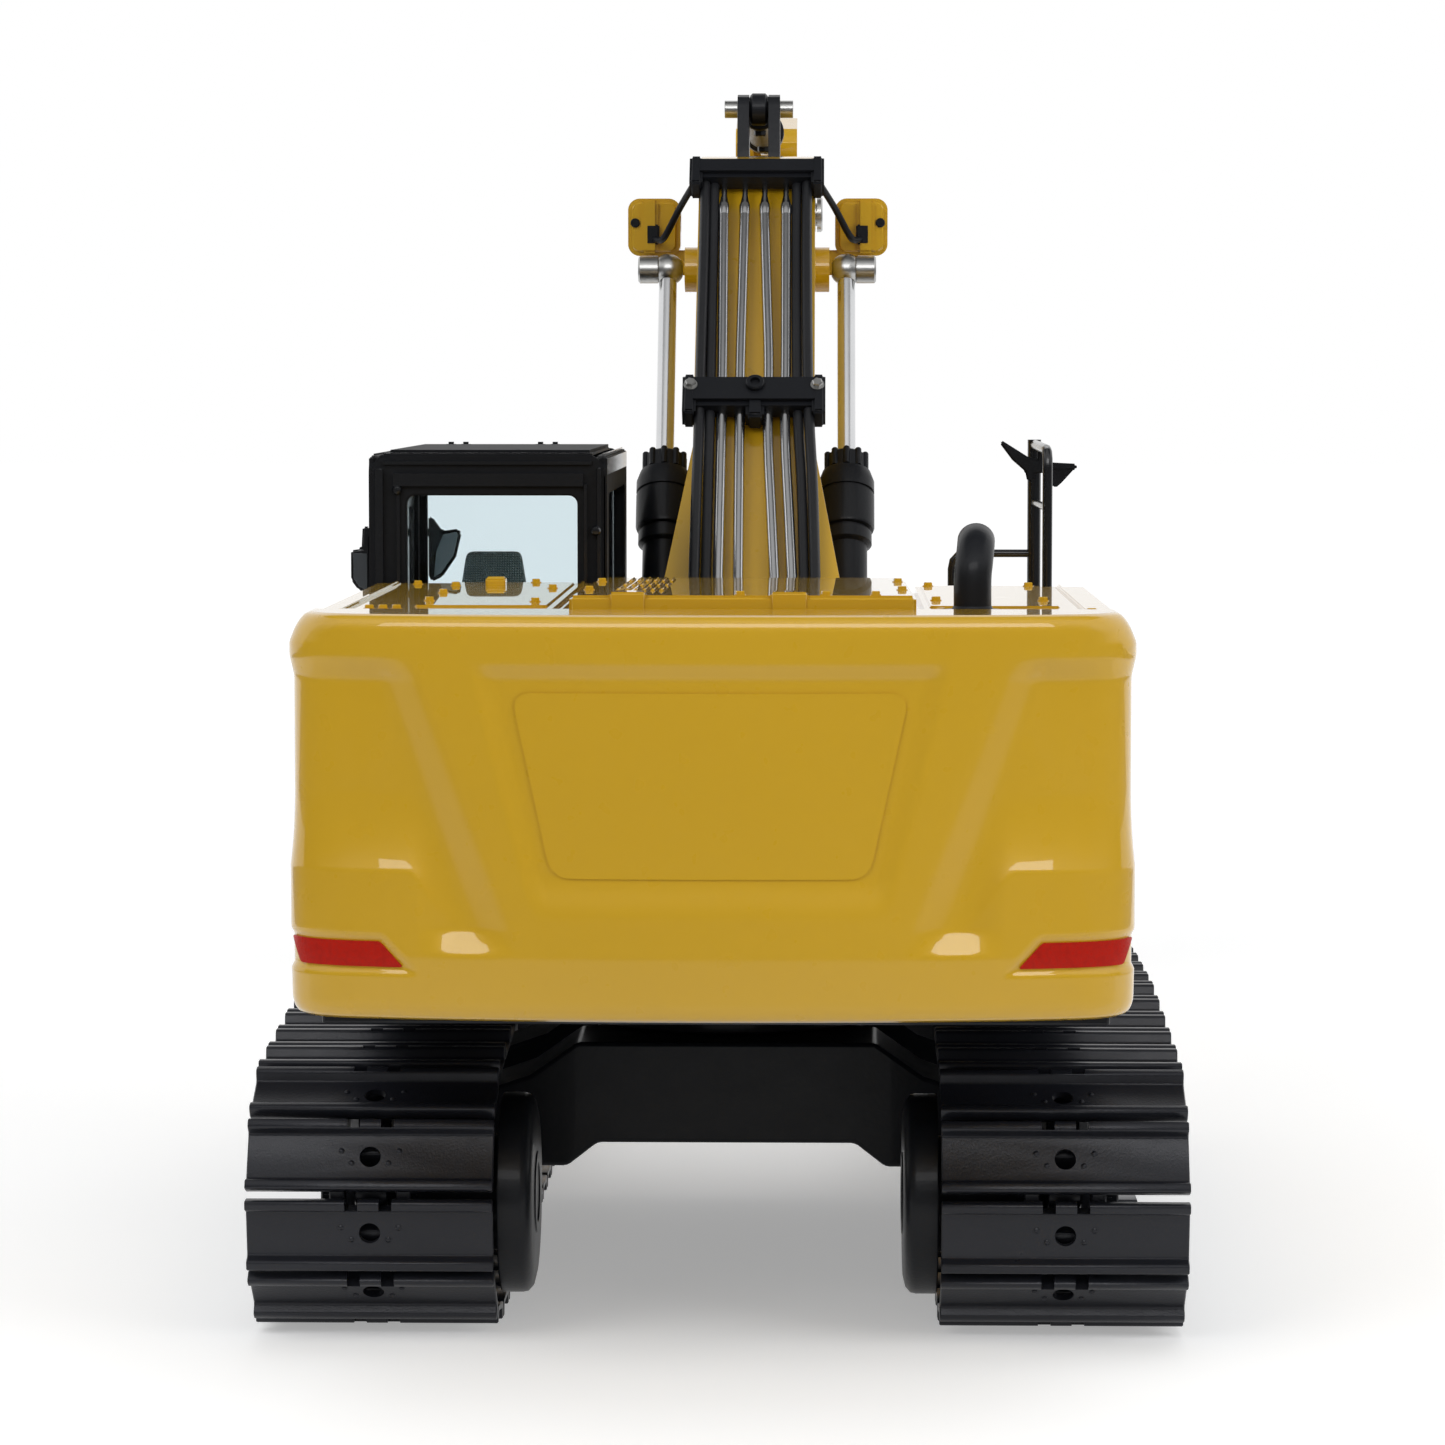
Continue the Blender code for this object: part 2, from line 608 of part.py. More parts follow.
def build_cab(upper, black, glass, fabric):
    (left, right), (back, front), (low, high) = CAB_X, CAB_Y, CAB_Z
    arch = [(left, low), (right, low), (right, high - 8), (right - 2.3, high - 2.3), (right - 8, high)]
    arch += [(left + 8, high), (left + 2.3, high - 2.3), (left, high - 8)]
    shell = solid("cab_shell", prism(arch, back, front, "Y"), black, upper)
    wall = CAB_WALL
    room = block((left + wall, right - wall), (back + wall, front - wall), (low + wall, high - wall))
    rear_window = soft_block((-95.8, -44.8), (back - 5, back + 5), (150, 217.8), 2.4)
    front_window = soft_block((-101.2, -43), (front - 5, front + 5), (118, 220), 2.4)
    right_window = soft_block((right - 5, right + 5), (-24, 84), (140, 218), 4.0)
    door_way = block((left - 5, left + 5), (-28, 88), (98, 219))
    cut(shell, room, rear_window, front_window, right_window, door_way)
    inset = wall + GAP
    pane = 1.2
    a, b, c, d = left + inset, right - inset, back + inset, front - inset
    liner = [(a, c), (b, c), (b, d), (a, d)]
    liner += [(a, d - pane), (b - pane, d - pane), (b - pane, c + pane), (a, c + pane)]
    solid("cab_glazing", prism(liner, 112, high - wall - 2, "Z"), glass, upper, smooth=False)
    floor = low + wall + GAP
    seat = solid("seat", soft_block((-88, -58), (8, 40), (floor + 24, floor + 38), 4), fabric, upper)
    add(seat, block((-82, -64), (12, 36), (floor, floor + 27)))
    add(seat, block((-87, -59), (4, 13), (floor + 31, floor + 86)))
    rest = [(-84.0, floor + 84), (-62.0, floor + 84), (-65.2, floor + 105.4), (-80.8, floor + 105.4)]
    add(seat, prism(rest, 5, 11.5, "Y"))
    hinge = body("cab_door_axis", left, -27.8, 0, upper)
    door = solid("cab_door", block((left, left + 2.5), (-27.6, 87.6), (98.4, 218.6)), black, hinge)
    cut(door, block((left - 3, left + 5), (-17, 82), (142, 211)))
    solid("door_window", block((left + 0.7, left + 1.9), (-16.7, 81.7), (142.3, 210.7)), glass, hinge)


def bar(start, end, radius):
    """A round bar from one point to another."""
    line = Vector(end) - Vector(start)
    return turned([(0, 0), (0, radius), (line.length, radius), (line.length, 0)], start, line, 12)


def build_fittings(upper, black):
    bend = [(0, 0, 0), (0, 0, 8.5), (0.4, 1.2, 12.6), (0.9, 4.6, 16.4), (1.2, 9.5, 18.0)]
    foot = Vector((67, -206.5, DECK_Z + GAP))
    tube("exhaust_pipe", smooth_route([foot + Vector(p) for p in bend], 2), 4.9, black, upper, 3)
    near, far, deck = 40.0, 84.0, 181.8
    post = bar((96.6, far, deck), (96.6, far, 233.0), 2.2)
    rail = solid("right_handrail", post, black, upper)
    add(rail, bar((98.7, near, deck), (98.7, near, 230.6), 1.6))
    add(rail, bar((98.8, near - 1.4, 228.8), (96.5, far + 1.6, 231.2), 1.5))
    add(rail, bar((98.7, near, 212.0), (96.6, far, 212.6), 1.2))
    add(rail, bar((70.0, far, 196.0), (96.6, far, 196.0), 1.3))
    add(rail, bar((70.0, far, deck), (70.0, far, 197.2), 1.3))
    blade = [(85, 233.2), (84.6, 231.8), (88.6, 226.6), (92.8, 222.9), (99.6, 221.4), (99.8, 218.2)]
    blade += [(101.2, 217.8), (105.4, 223.0), (109.2, 223.1), (109.2, 225.6), (101.2, 225.6), (93.6, 227.6)]
    solid("right_mirror", prism(blade, 62.3, 65.3, "Y"), black, upper, smooth=False)
    blade = [(-126.9, 196.2), (-126.9, 186.4), (-124.6, 183.2), (-120.6, 181.6), (-120.6, 204), (-123, 204)]
    blade += [(-123.4, 196.6)]
    mirror = solid("left_mirror", prism(blade, 99.6, 103.2, "Y"), black, upper, smooth=False)
    inner = [(-101.2, 207.4), (-99.9, 207.0), (-96.7, 202.6), (-91.4, 203.3), (-90.4, 201.7), (-92.2, 194.1)]
    inner += [(-96.7, 187.5), (-100.2, 185.9), (-101.2, 188.0)]
    add(mirror, block((-122, -97), (98.4, 101), (200.6, 203.6)), prism(inner, 98.4, 102.4, "Y"))


def back_of_boom(distance, lift):
    """A point (y, z) over the straight back of the boom's lower half."""
    slope = math.radians(49.5)
    y, z = polar(BOOM_FOOT, 13.0, 139.5)
    y += distance * math.cos(slope) - lift * math.sin(slope)
    z += distance * math.sin(slope) + lift * math.cos(slope)
    return y, z


def back_patch(at, deep, low, high):
    """The side view of a block that lies on the boom's back."""
    places = ((at - deep, low), (at + deep, low), (at + deep, high), (at - deep, high))
    return [back_of_boom(*place) for place in places]


BOOM_BACK = 232.0
LOWER_CLAMP_AT = 127.5
UPPER_CLAMP_AT = 226.0


def boom_flare(place):
    """The half width of the boom's foot, which narrows evenly along the boom's back."""
    slope = math.radians(49.5)
    along = (place[0] - BOOM_FOOT[0]) * math.cos(slope) + (place[1] - BOOM_FOOT[1]) * math.sin(slope)
    return 24.6 - (along + 13.0) * 0.05


def boom_skirt(distance):
    """The half width of the plates beside the boom's back, which spread towards the deck."""
    return 20.4 + (105.0 - distance) * 0.15


def build_boom(boom, yellow):
    top = back_of_boom(BOOM_BACK, 0)
    foot_arc = [polar(BOOM_FOOT, 13.0, 139.5 + 180 * n / 6) for n in range(7)]
    tip_arc = [polar(BOOM_TIP, 13.0, -95 + 185 * n / 6) for n in range(7)]
    lower = [(112, 213), (172, 280), (190, 285)]
    outline = foot_arc + lower + tip_arc + [(300, 331), (186, 329), (168, 327.5), top]
    beam = prism(outline, BOOM_X - BOOM_HALF, BOOM_X + BOOM_HALF)
    beam = solid("boom_beam", beam, yellow, boom, smooth=False)
    flare = foot_arc + [(103, 207), back_of_boom(128, -3)]
    halves = [boom_flare(place) for place in flare]
    add(beam, prism(flare, [BOOM_X - half for half in halves], [BOOM_X + half for half in halves]))
    ends = ((44.0, -0.2), (112.0, -0.2), (112.0, -10.0), (44.0, -10.0))
    skirt = [back_of_boom(*place) for place in ends]
    halves = [boom_skirt(place[0]) for place in ends]
    add(beam, prism(skirt, [BOOM_X - half for half in halves], [BOOM_X + half for half in halves]))
    add(beam, rod_along_x((BOOM_X - 24.3, BOOM_X + 24.3), *BOOM_ROD_PIN, 7.6, 20))
    y, z = STICK_BASE_PIN
    ear = [(y - 11, 326), (y + 14, 326), (y + 6, z + 1), (y + 3.5, z + 4)]
    ear += [(y, z + 5), (y - 3.5, z + 4), (y - 6, z + 1)]
    for side in (-1, 1):
        add(beam, prism(ear, *(BOOM_X + at for at in span(side, 3.3, 7.3))))
    add(beam, rod_along_x((BOOM_X - 11.8, BOOM_X + 11.8), y, z, 3.0))
    fork = block((BOOM_X - 12.6, BOOM_X + 12.6), (BOOM_TIP[0] - 52, BOOM_TIP[0] + 30), (280, 350))
    bores = [rod_along_x((BOOM_X - 40, BOOM_X + 40), *pin, 5.0) for pin in (BOOM_FOOT, BOOM_TIP)]
    cut(beam, fork, *bores)


PIPE_TOP = (-10.8, -3.9, 2.7, 9.8)
PIPE_MID = (-10.3, -4.5, 4.6, 10.1)
PIPE_FOOT = (-10.5, -4.2, 7.4, 12.9)
LEFT_HOSE = [(52, -18.1, 4.6), (90, -17.8, 5.2), (118, -17.5, 5.4)]
LEFT_HOSE += [(146, -17.4, 5.2), (190, -17.2, 4.6), (232, -17.2, 4.4)]
RIGHT_HOSE = [(52, 19.9, 4.6), (90, 19.0, 5.2), (118, 17.8, 5.4)]
RIGHT_HOSE += [(146, 17.2, 5.2), (190, 16.8, 4.6), (232, 16.8, 4.4)]


def build_pipes(boom, chrome, rubber, black):
    for number, (top_x, mid_x, foot_x) in enumerate(zip(PIPE_TOP, PIPE_MID, PIPE_FOOT)):
        route = []
        stops = ((46, foot_x), (112, mid_x), (143, mid_x), (210, top_x), (UPPER_CLAMP_AT + 9, top_x))
        for distance, x in stops:
            route.append((BOOM_X + x, *back_of_boom(distance, 4.0)))
        tube(f"boom_pipe_{number + 1}", route, 1.75, chrome, boom, 2)
    for name, places in (("left", LEFT_HOSE), ("right", RIGHT_HOSE)):
        route = [(BOOM_X + x, *back_of_boom(distance, lift)) for distance, x, lift in places]
        tube(f"{name}_hose", smooth_route(route, 3), 1.6, rubber, boom, 1)
    clamps = (("lower", LOWER_CLAMP_AT, 23.0, 6.0, PIPE_MID), ("upper", UPPER_CLAMP_AT, 22.5, 5.0, PIPE_TOP))
    for name, at, half, deep, pipes in clamps:
        saddle = prism(back_patch(at, deep, 0.4, 9.4), BOOM_X - half, BOOM_X + half)
        clamp = solid(f"{name}_pipe_clamp", saddle, black, boom, smooth=False)
        ways = [pipe_way(x, at, 4.0, 2.2) for x in pipes]
        cut(clamp, *ways, hose_way(-20.9, -13.2, at), hose_way(13.2, 20.9, at))


def pipe_way(x, at, lift, half):
    """The square channel of one pipe through a clamp."""
    return prism(back_patch(at, 12, lift - half, lift + half), BOOM_X + x - half, BOOM_X + x + half)


def hose_way(low, high, at):
    """The wider channel of the hoses on one side, which wander a little inside their clamp."""
    return prism(back_patch(at, 12, 1.6, 8.6), BOOM_X + low, BOOM_X + high)


def build_lights(boom, yellow):
    for name, side in (("left", -1), ("right", 1)):
        outer = tuple(BOOM_X + at for at in span(side, 26.3, 44.0))
        light = solid(f"{name}_work_light", soft_block(outer, (157, 170), (294, 313.4), 3, 2), yellow, boom)
        add(light, block(tuple(BOOM_X + at for at in span(side, 19.8, 34)), (160, 166), (287.5, 296)))


def barrel_profile(size):
    """A barrel along its own line: the neck of the base eye, the tube with an open bore, and the gland."""
    length, neck, bore, gland = size["barrel"], size["neck"], size["rod"] + 0.4, size["gland"]
    head, cap = size["head"], size["cap"]
    neck_radius = size["eye_half"] - 0.3
    start = size["eye"] * 0.6
    profile = [(start, 0), (start, neck_radius), (neck, neck_radius), (neck + 1, size["tube"])]
    profile += [(length - head - 1, size["tube"]), (length - head, gland), (length - cap, gland)]
    profile += [(length - cap, gland - 1.6), (length, gland - 1.6)]
    return profile + [(length, bore), (neck + 6, bore), (neck + 6, 0)]


def build_cylinder(name, x, base, tip, size, carrier, black, chrome):
    """A hydraulic cylinder: the barrel turns on its base pin, and the rod slides in it."""
    line = Vector((0, tip[0] - base[0], tip[1] - base[1]))
    foot = Vector((x, *base))
    eye_x = (x - size["eye_half"], x + size["eye_half"])
    barrel = solid(f"{name}_barrel", turned(barrel_profile(size), foot, line, 16), black, carrier)
    add(barrel, rod_along_x(eye_x, *base, size["eye"]))
    cut(barrel, rod_along_x((x - 20, x + 20), *base, size["pin"] + 0.4))
    start = size["rod_start"]
    end = line.length - 3
    shaft = [(start, 0), (start, size["rod"]), (end, size["rod"]), (end, 0)]
    return solid(f"{name}_rod", turned(shaft, foot, line, 12), chrome, carrier)


def build_boom_cylinders(upper, black, chrome):
    size = {"barrel": 139.5, "eye": 7, "eye_half": 4.8, "pin": 3.2, "neck": 12}
    size |= {"tube": 6.8, "gland": 9.2, "head": 33, "cap": 6, "rod": 3, "rod_start": 60}
    ball = [(-4.9, 0), (-4.9, 2.2), (-3.8, 4.0), (-1.9, 5.1), (0, 5.4)]
    ball += [(1.9, 5.1), (3.8, 4.0), (4.9, 2.2), (4.9, 0)]
    for name, side in (("left", -1), ("right", 1)):
        x = BOOM_X + side * BOOM_CYLINDER_X
        carrier = body(f"{name}_boom_cylinder_axis", x, *BOOM_BASE_PIN, upper)
        name = f"{name}_boom_cylinder"
        rod = build_cylinder(name, x, BOOM_BASE_PIN, BOOM_ROD_PIN, size, carrier, black, chrome)
        add(rod, turned(ball, (x, *BOOM_ROD_PIN), (1, 0, 0)))
        pin_x = tuple(BOOM_X + at for at in span(side, 33.4, 40.0))
        add(rod, rod_along_x(pin_x, *BOOM_ROD_PIN, 4.6))


def build_stick(boom, yellow, black, chrome, steel):
    stick_axis = body("stick_axis", BOOM_X, *BOOM_TIP, boom)
    tail = capsule(STICK_TAIL, stick_point(-22, -8), 7.5, 18.0)
    arm = [(-30, 6), (-22, 13), (-4, 18), (30, 18), (80, 16), (190, 10), (STICK_LENGTH, 8.4)]
    arm += [(STICK_LENGTH + 5.9, 5.9), (STICK_LENGTH + 8.4, 0), (STICK_LENGTH + 5.9, -5.9)]
    arm += [(STICK_LENGTH, -8.4), (120, -13), (40, -19), (0, -21), (-24, -22)]
    x = (BOOM_X - 12, BOOM_X + 12)
    stick = solid("stick", prism([stick_point(*p) for p in arm], *x), yellow, stick_axis, smooth=False)
    add(stick, prism(tail, *x))
    y, z = STICK_TAIL
    slot = [(y - 22, z - 22), (y + 4, z - 22), (y + 20, z - 4), (y + 20, z + 24), (y - 22, z + 24)]
    cut(stick, prism(slot, BOOM_X - 4.9, BOOM_X + 4.9))
    ear = capsule(BUCKET_BASE_PIN, stick_point(10, 14), 6.0, 9.0)
    for side in (-1, 1):
        add(stick, prism(ear, *(BOOM_X + at for at in span(side, 4.4, 8.4))))
    add(stick, rod_along_x((BOOM_X - 8.2, BOOM_X + 8.2), *BUCKET_BASE_PIN, 2.8))
    add(stick, rod_along_x((BOOM_X - 16.4, BOOM_X + 16.4), *ROCKER_PIN, 3.0))
    cut(stick, rod_along_x((BOOM_X - 20, BOOM_X + 20), *BOOM_TIP, 5.0))
    cut(stick, rod_along_x((BOOM_X - 20, BOOM_X + 20), *BUCKET_PIN, 4.6))
    solid("stick_pin", headed_pin(BOOM_TIP, 19.8, 4.6), steel, boom)
    solid("bucket_pin", rod_along_x((BOOM_X - 19, BOOM_X + 19), *BUCKET_PIN, 4.2), steel, stick_axis)
    carrier = body("stick_cylinder_axis", BOOM_X, *STICK_BASE_PIN, boom)
    size = {"barrel": 134, "eye": 5.5, "eye_half": 3, "pin": 3, "neck": 15}
    size |= {"tube": 6.3, "gland": 7.6, "head": 15, "cap": 3, "rod": 3, "rod_start": 34}
    rod = build_cylinder("stick_cylinder", BOOM_X, STICK_BASE_PIN, STICK_TAIL, size, carrier, black, chrome)
    add(rod, rod_along_x((BOOM_X - 3, BOOM_X + 3), *STICK_TAIL, 4.0))
    carrier = body("bucket_cylinder_axis", BOOM_X, *BUCKET_BASE_PIN, stick_axis)
    size = {"barrel": 112, "eye": 5.5, "eye_half": 4, "pin": 2.8, "neck": 10}
    size |= {"tube": 5.2, "gland": 6.4, "head": 15, "cap": 3, "rod": 2.5, "rod_start": 25}
    rod = build_cylinder("bucket_cylinder", BOOM_X, BUCKET_BASE_PIN, ROCKER_END, size, carrier, black, chrome)
    add(rod, rod_along_x((BOOM_X - 4, BOOM_X + 4), *ROCKER_END, 4.0))
    return stick_axis


def build_linkage(stick_axis, black):
    rocker_axis = body("rocker_axis", BOOM_X, *ROCKER_PIN, stick_axis)
    for name, side in (("left", -1), ("right", 1)):
        x = (BOOM_X + at for at in span(side, 12.6, 15.8))
        plate = prism(capsule(ROCKER_PIN, ROCKER_END, 5.0, 5.0), *x)
        rocker = solid(f"{name}_rocker", plate, black, rocker_axis)
        bores = [rod_along_x((BOOM_X - 20, BOOM_X + 20), *pin, 3.4) for pin in (ROCKER_PIN, ROCKER_END)]
        cut(rocker, *bores)
    link_axis = body("bucket_link_axis", BOOM_X, *ROCKER_END, rocker_axis)
    y = (ROCKER_END[0] + LINK_END[0]) / 2
    z = (ROCKER_END[1] + LINK_END[1]) / 2
    tie = block((BOOM_X - 8, BOOM_X + 8), (y - 2.5, y + 2.5), (z - 3, z + 3))
    link = solid("bucket_link", tie, black, link_axis)
    for side in (-1, 1):
        x = (BOOM_X + at for at in span(side, 6.0, 10.0))
        add(link, prism(capsule(ROCKER_END, LINK_END, 4.4, 4.4), *x))
        for pin in (ROCKER_END, LINK_END):
            add(link, rod_along_x(tuple(BOOM_X + at for at in span(side, 9.0, 16.6)), *pin, 3.0))


def build_bucket(stick_axis, yellow):
    carrier = body("bucket_axis", BOOM_X, *BUCKET_PIN, stick_axis)
    y, z = BUCKET_PIN
    outer = [(-14, -13), (38, -5), (46, -16), (50, -38), (46, -58)]
    outer += [(33, -75), (12, -85), (-12, -88), (-34, -88)]
    inner = [(-70, -16.2), (-13, -16.2), (36.5, -8.6), (43, -18), (46.7, -38)]
    inner += [(42.5, -57), (31, -72), (11, -81.7), (-12, -85), (-70, -85)]
    shell = [(y + a, z + b) for a, b in outer]
    scoop = prism(shell, BOOM_X - BUCKET_HALF, BOOM_X + BUCKET_HALF)
    bucket = solid("bucket", scoop, yellow, carrier, smooth=False)
    hollow = [(y + a, z + b) for a, b in inner]
    cut(bucket, prism(hollow, BOOM_X - BUCKET_HALF + 3, BOOM_X + BUCKET_HALF - 3))
    lip_y, lip_z = shell[-1]
    tooth = [(lip_y + 6, lip_z - 1.2), (lip_y + 6, lip_z + 4.2), (lip_y - 4, lip_z + 4.2)]
    tooth += [(lip_y - 15, lip_z + 2.2), (lip_y - 15, lip_z + 1)]
    for n in range(5):
        at = BOOM_X + (n - 2) * 22.5
        add(bucket, prism(tooth, at - 4.5, at + 4.5))
    ear = [(-9, -14), (-9.5, 2), (-5, 8.5), (2, 10), (26, 17), (33, 17.5), (39.5, 12), (39, -7.4), (20, -10)]
    ear = [(y + a, z + b) for a, b in ear]
    for side in (-1, 1):
        add(bucket, prism(ear, *(BOOM_X + at for at in span(side, 12.6, 17.6))))
    reach = (BOOM_X - 30, BOOM_X + 30)
    cut(bucket, rod_along_x(reach, *BUCKET_PIN, 4.6), rod_along_x(reach, *LINK_END, 3.4))


def build_machine():
    yellow = paint("yellow paint", (0.52, 0.30, 0.022), 0.3)
    black = paint("black paint", (0.010, 0.011, 0.014), 0.4)
    dark = paint("blackened steel", (0.020, 0.021, 0.025), 0.45, 0.6)
    steel = paint("bright steel", (0.55, 0.55, 0.54), 0.3, 1.0)
    chrome = paint("chrome", (0.78, 0.78, 0.78), 0.12, 1.0)
    rubber = paint("black rubber", (0.012, 0.012, 0.013), 0.6)
    glass = paint("tinted glass", (0.62, 0.72, 0.76), 0.05)
    red = paint("red lens", (0.45, 0.020, 0.012), 0.25)
    fabric = paint("seat fabric", (0.17, 0.18, 0.16), 0.8)
    blue = paint("battery sleeve", (0.03, 0.08, 0.30), 0.4)

    chassis = body("chassis", 0, 0, 0)
    for name, side in (("left", -1), ("right", 1)):
        build_track(name, side, chassis, dark)
        build_sprocket(name, side, chassis, dark)
        build_idler(name, side, chassis, dark)
        build_final_drive(name, side, chassis, dark)
        build_track_frame(name, side, chassis, black)
        build_roller_bank(name, side, chassis, dark)
    build_lower_frame(chassis, black)

    upper = body("swing_axis", 0, 0, 0, chassis)
    build_upper_frame(upper, black, steel)
    build_counterweight(upper, yellow, red)
    build_housings(upper, yellow)
    build_hood(upper, yellow)
    build_power_pack(upper, black, steel, blue)
    build_cab(upper, black, glass, fabric)
    build_fittings(upper, black)

    boom = body("boom_axis", BOOM_X, *BOOM_FOOT, upper)
    build_boom(boom, yellow)
    build_pipes(boom, chrome, rubber, black)
    build_lights(boom, yellow)
    build_boom_cylinders(upper, black, chrome)
    stick_axis = build_stick(boom, yellow, black, chrome, steel)
    build_linkage(stick_axis, black)
    build_bucket(stick_axis, yellow)
    upper.location.z = UPPER_LIFT * MM
    chassis.location.y = SWING_Y * MM


clear_scene()
build_machine()
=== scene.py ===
import math

import bmesh
import bpy
from mathutils import Matrix, Vector


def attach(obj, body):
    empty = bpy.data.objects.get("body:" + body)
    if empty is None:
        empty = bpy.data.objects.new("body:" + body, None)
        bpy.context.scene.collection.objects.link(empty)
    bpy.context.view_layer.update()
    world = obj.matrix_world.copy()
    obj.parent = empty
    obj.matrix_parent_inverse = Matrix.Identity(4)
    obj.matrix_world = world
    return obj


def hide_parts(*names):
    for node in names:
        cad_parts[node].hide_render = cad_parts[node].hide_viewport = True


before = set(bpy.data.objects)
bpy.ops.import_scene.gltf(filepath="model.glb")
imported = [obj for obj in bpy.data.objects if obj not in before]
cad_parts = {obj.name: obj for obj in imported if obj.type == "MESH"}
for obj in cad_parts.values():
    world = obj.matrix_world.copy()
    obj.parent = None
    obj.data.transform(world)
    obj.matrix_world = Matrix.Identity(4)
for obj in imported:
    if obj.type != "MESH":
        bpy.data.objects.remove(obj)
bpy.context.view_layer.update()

# Track chains. Each shoe is a pressed plate of blackened steel with a ridge along both long edges, a mud hole
# and four rivets. It is riveted to a pair of links, and pins join the links into an endless chain.

MM = 0.001
SWING_Y = -137.1
TRACK_X = 93.7
SHOE_WIDTH = 66.6
SHOE_COUNT = 36
WHEEL_Y = 145.0
WHEEL_Z = 37.0
PIN_RADIUS = 34.0
CARRIER_Y = 40.0
CARRIER_Z = 62.0
CARRIER_RADIUS = 16.5
FIRST_PIN = 0.084
SIDES = (("left", -1), ("right", 1))


def joined(*shapes):
    """Several closed shapes as one."""
    whole = shapes[0]
    for shape in shapes[1:]:
        mesh = bpy.data.meshes.new("joined")
        shape.to_mesh(mesh)
        shape.free()
        whole.from_mesh(mesh)
        bpy.data.meshes.remove(mesh)
    return whole


def eased(shape, radius, steps=2):
    """A shape with its sharp edges rounded."""
    bmesh.ops.recalc_face_normals(shape, faces=shape.faces)
    sharp = [edge for edge in shape.edges if len(edge.link_faces) == 2 and edge.calc_face_angle() > 0.45]
    if radius:
        bmesh.ops.bevel(shape, geom=sharp, offset=radius, segments=steps, affect="EDGES", clamp_overlap=True)
    return shape


def middle_and_size(x, y, z):
    """The middle and the size of a box whose spans are given."""
    low, high = Vector((x[0], y[0], z[0])), Vector((x[1], y[1], z[1]))
    return (low + high) / 2, high - low


def block(x, y, z, radius=0.0, steps=2):
    shape = bmesh.new()
    bmesh.ops.create_cube(shape, size=1.0)
    middle, size = middle_and_size(x, y, z)
    for vert in shape.verts:
        vert.co = vert.co * size + middle
    return eased(shape, radius, steps)


def bridge(shape, before, after):
    """Closes the wall between two rounds of as many points. A point that comes twice gives a triangle."""
    for n in range(len(before)):
        m = (n + 1) % len(before)
        shape.faces.new(list(dict.fromkeys((before[n], before[m], after[m], after[n]))))


PUSHED = {"X": lambda a, b, t: (t, a, b), "Y": lambda a, b, t: (a, t, b), "Z": lambda a, b, t: (a, b, t)}


def extruded(outline, low, high, axis="X", radius=0.0, steps=2):
    """A closed outline pushed along an axis from low to high, with its rim rounded."""
    at = PUSHED[axis]
    shape = bmesh.new()
    first = [shape.verts.new(at(a, b, low)) for a, b in outline]
    last = [shape.verts.new(at(a, b, high)) for a, b in outline]
    shape.faces.new(first)
    shape.faces.new(last[::-1])
    bridge(shape, first, last)
    return eased(shape, radius, steps)


def ring(shape, centre, side, other, radius, sides):
    """A round of points about a centre, in the plane of two directions."""
    angles = [2 * math.pi * n / sides for n in range(sides)]
    return [shape.verts.new(centre + radius * (side * math.cos(a) + other * math.sin(a))) for a in angles]


def turned(profile, origin, direction, sides=32):
    """A turned piece. profile lists (along, radius), and closes on itself when neither end is on the axis."""
    axis = Vector(direction).normalized()
    side = axis.orthogonal().normalized()
    other = axis.cross(side)
    shape = bmesh.new()
    rows = []
    for along, radius in profile:
        centre = Vector(origin) + axis * along
        if radius:
            rows.append(ring(shape, centre, side, other, radius, sides))
        else:
            rows.append([shape.verts.new(centre)] * sides)
    pairs = list(zip(rows, rows[1:]))
    if profile[0][1] > 0 and profile[-1][1] > 0:
        pairs.append((rows[-1], rows[0]))
    for before, after in pairs:
        bridge(shape, before, after)
    bmesh.ops.recalc_face_normals(shape, faces=shape.faces)
    return shape


def cut_from(shape, *cutters):
    """A shape with other closed shapes taken out of it."""
    helpers = []
    for number, form in enumerate((shape, *cutters)):
        mesh = bpy.data.meshes.new(f"cut_{number}")
        bmesh.ops.recalc_face_normals(form, faces=form.faces)
        form.to_mesh(mesh)
        form.free()
        helper = bpy.data.objects.new(f"cut_{number}", mesh)
        bpy.context.scene.collection.objects.link(helper)
        helpers.append(helper)
    for cutter in helpers[1:]:
        step = helpers[0].modifiers.new("cut", "BOOLEAN")
        step.operation = "DIFFERENCE"
        step.solver = "EXACT"
        step.object = cutter
    mesh = bpy.data.meshes.new_from_object(helpers[0].evaluated_get(bpy.context.evaluated_depsgraph_get()))
    result = bmesh.new()
    result.from_mesh(mesh)
    bmesh.ops.remove_doubles(result, verts=result.verts, dist=0.001)
    for helper in helpers:
        bpy.data.objects.remove(helper, do_unlink=True)
    return result


def mesh_in_metres(name, shape, lift, shift=SWING_Y):
    """Writes a shape in machine millimetres, measured from the swing axis, as a mesh in metres."""
    bmesh.ops.recalc_face_normals(shape, faces=shape.faces)
    for vert in shape.verts:
        vert.co = (vert.co + Vector((0, shift, lift))) * MM
    mesh = bpy.data.meshes.new(name)
    shape.to_mesh(mesh)
    shape.free()
    mesh.shade_smooth()
    mesh.set_sharp_from_angle(angle=math.radians(38))
    return mesh


def seat_piece(name, mesh, finish, body, nodes=(), even=True):
    """Makes a piece of a mesh in metres. It rides on a body, and stands for the CAD nodes that are named."""
    made = bpy.data.objects.new(name, mesh)
    bpy.context.scene.collection.objects.link(made)
    if finish:
        mesh.materials.clear()
        mesh.materials.append(finish)
    if even:
        made.modifiers.new("even shading", "WEIGHTED_NORMAL").keep_sharp = True
    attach(made, body)
    if nodes:
        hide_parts(*nodes)
    return made


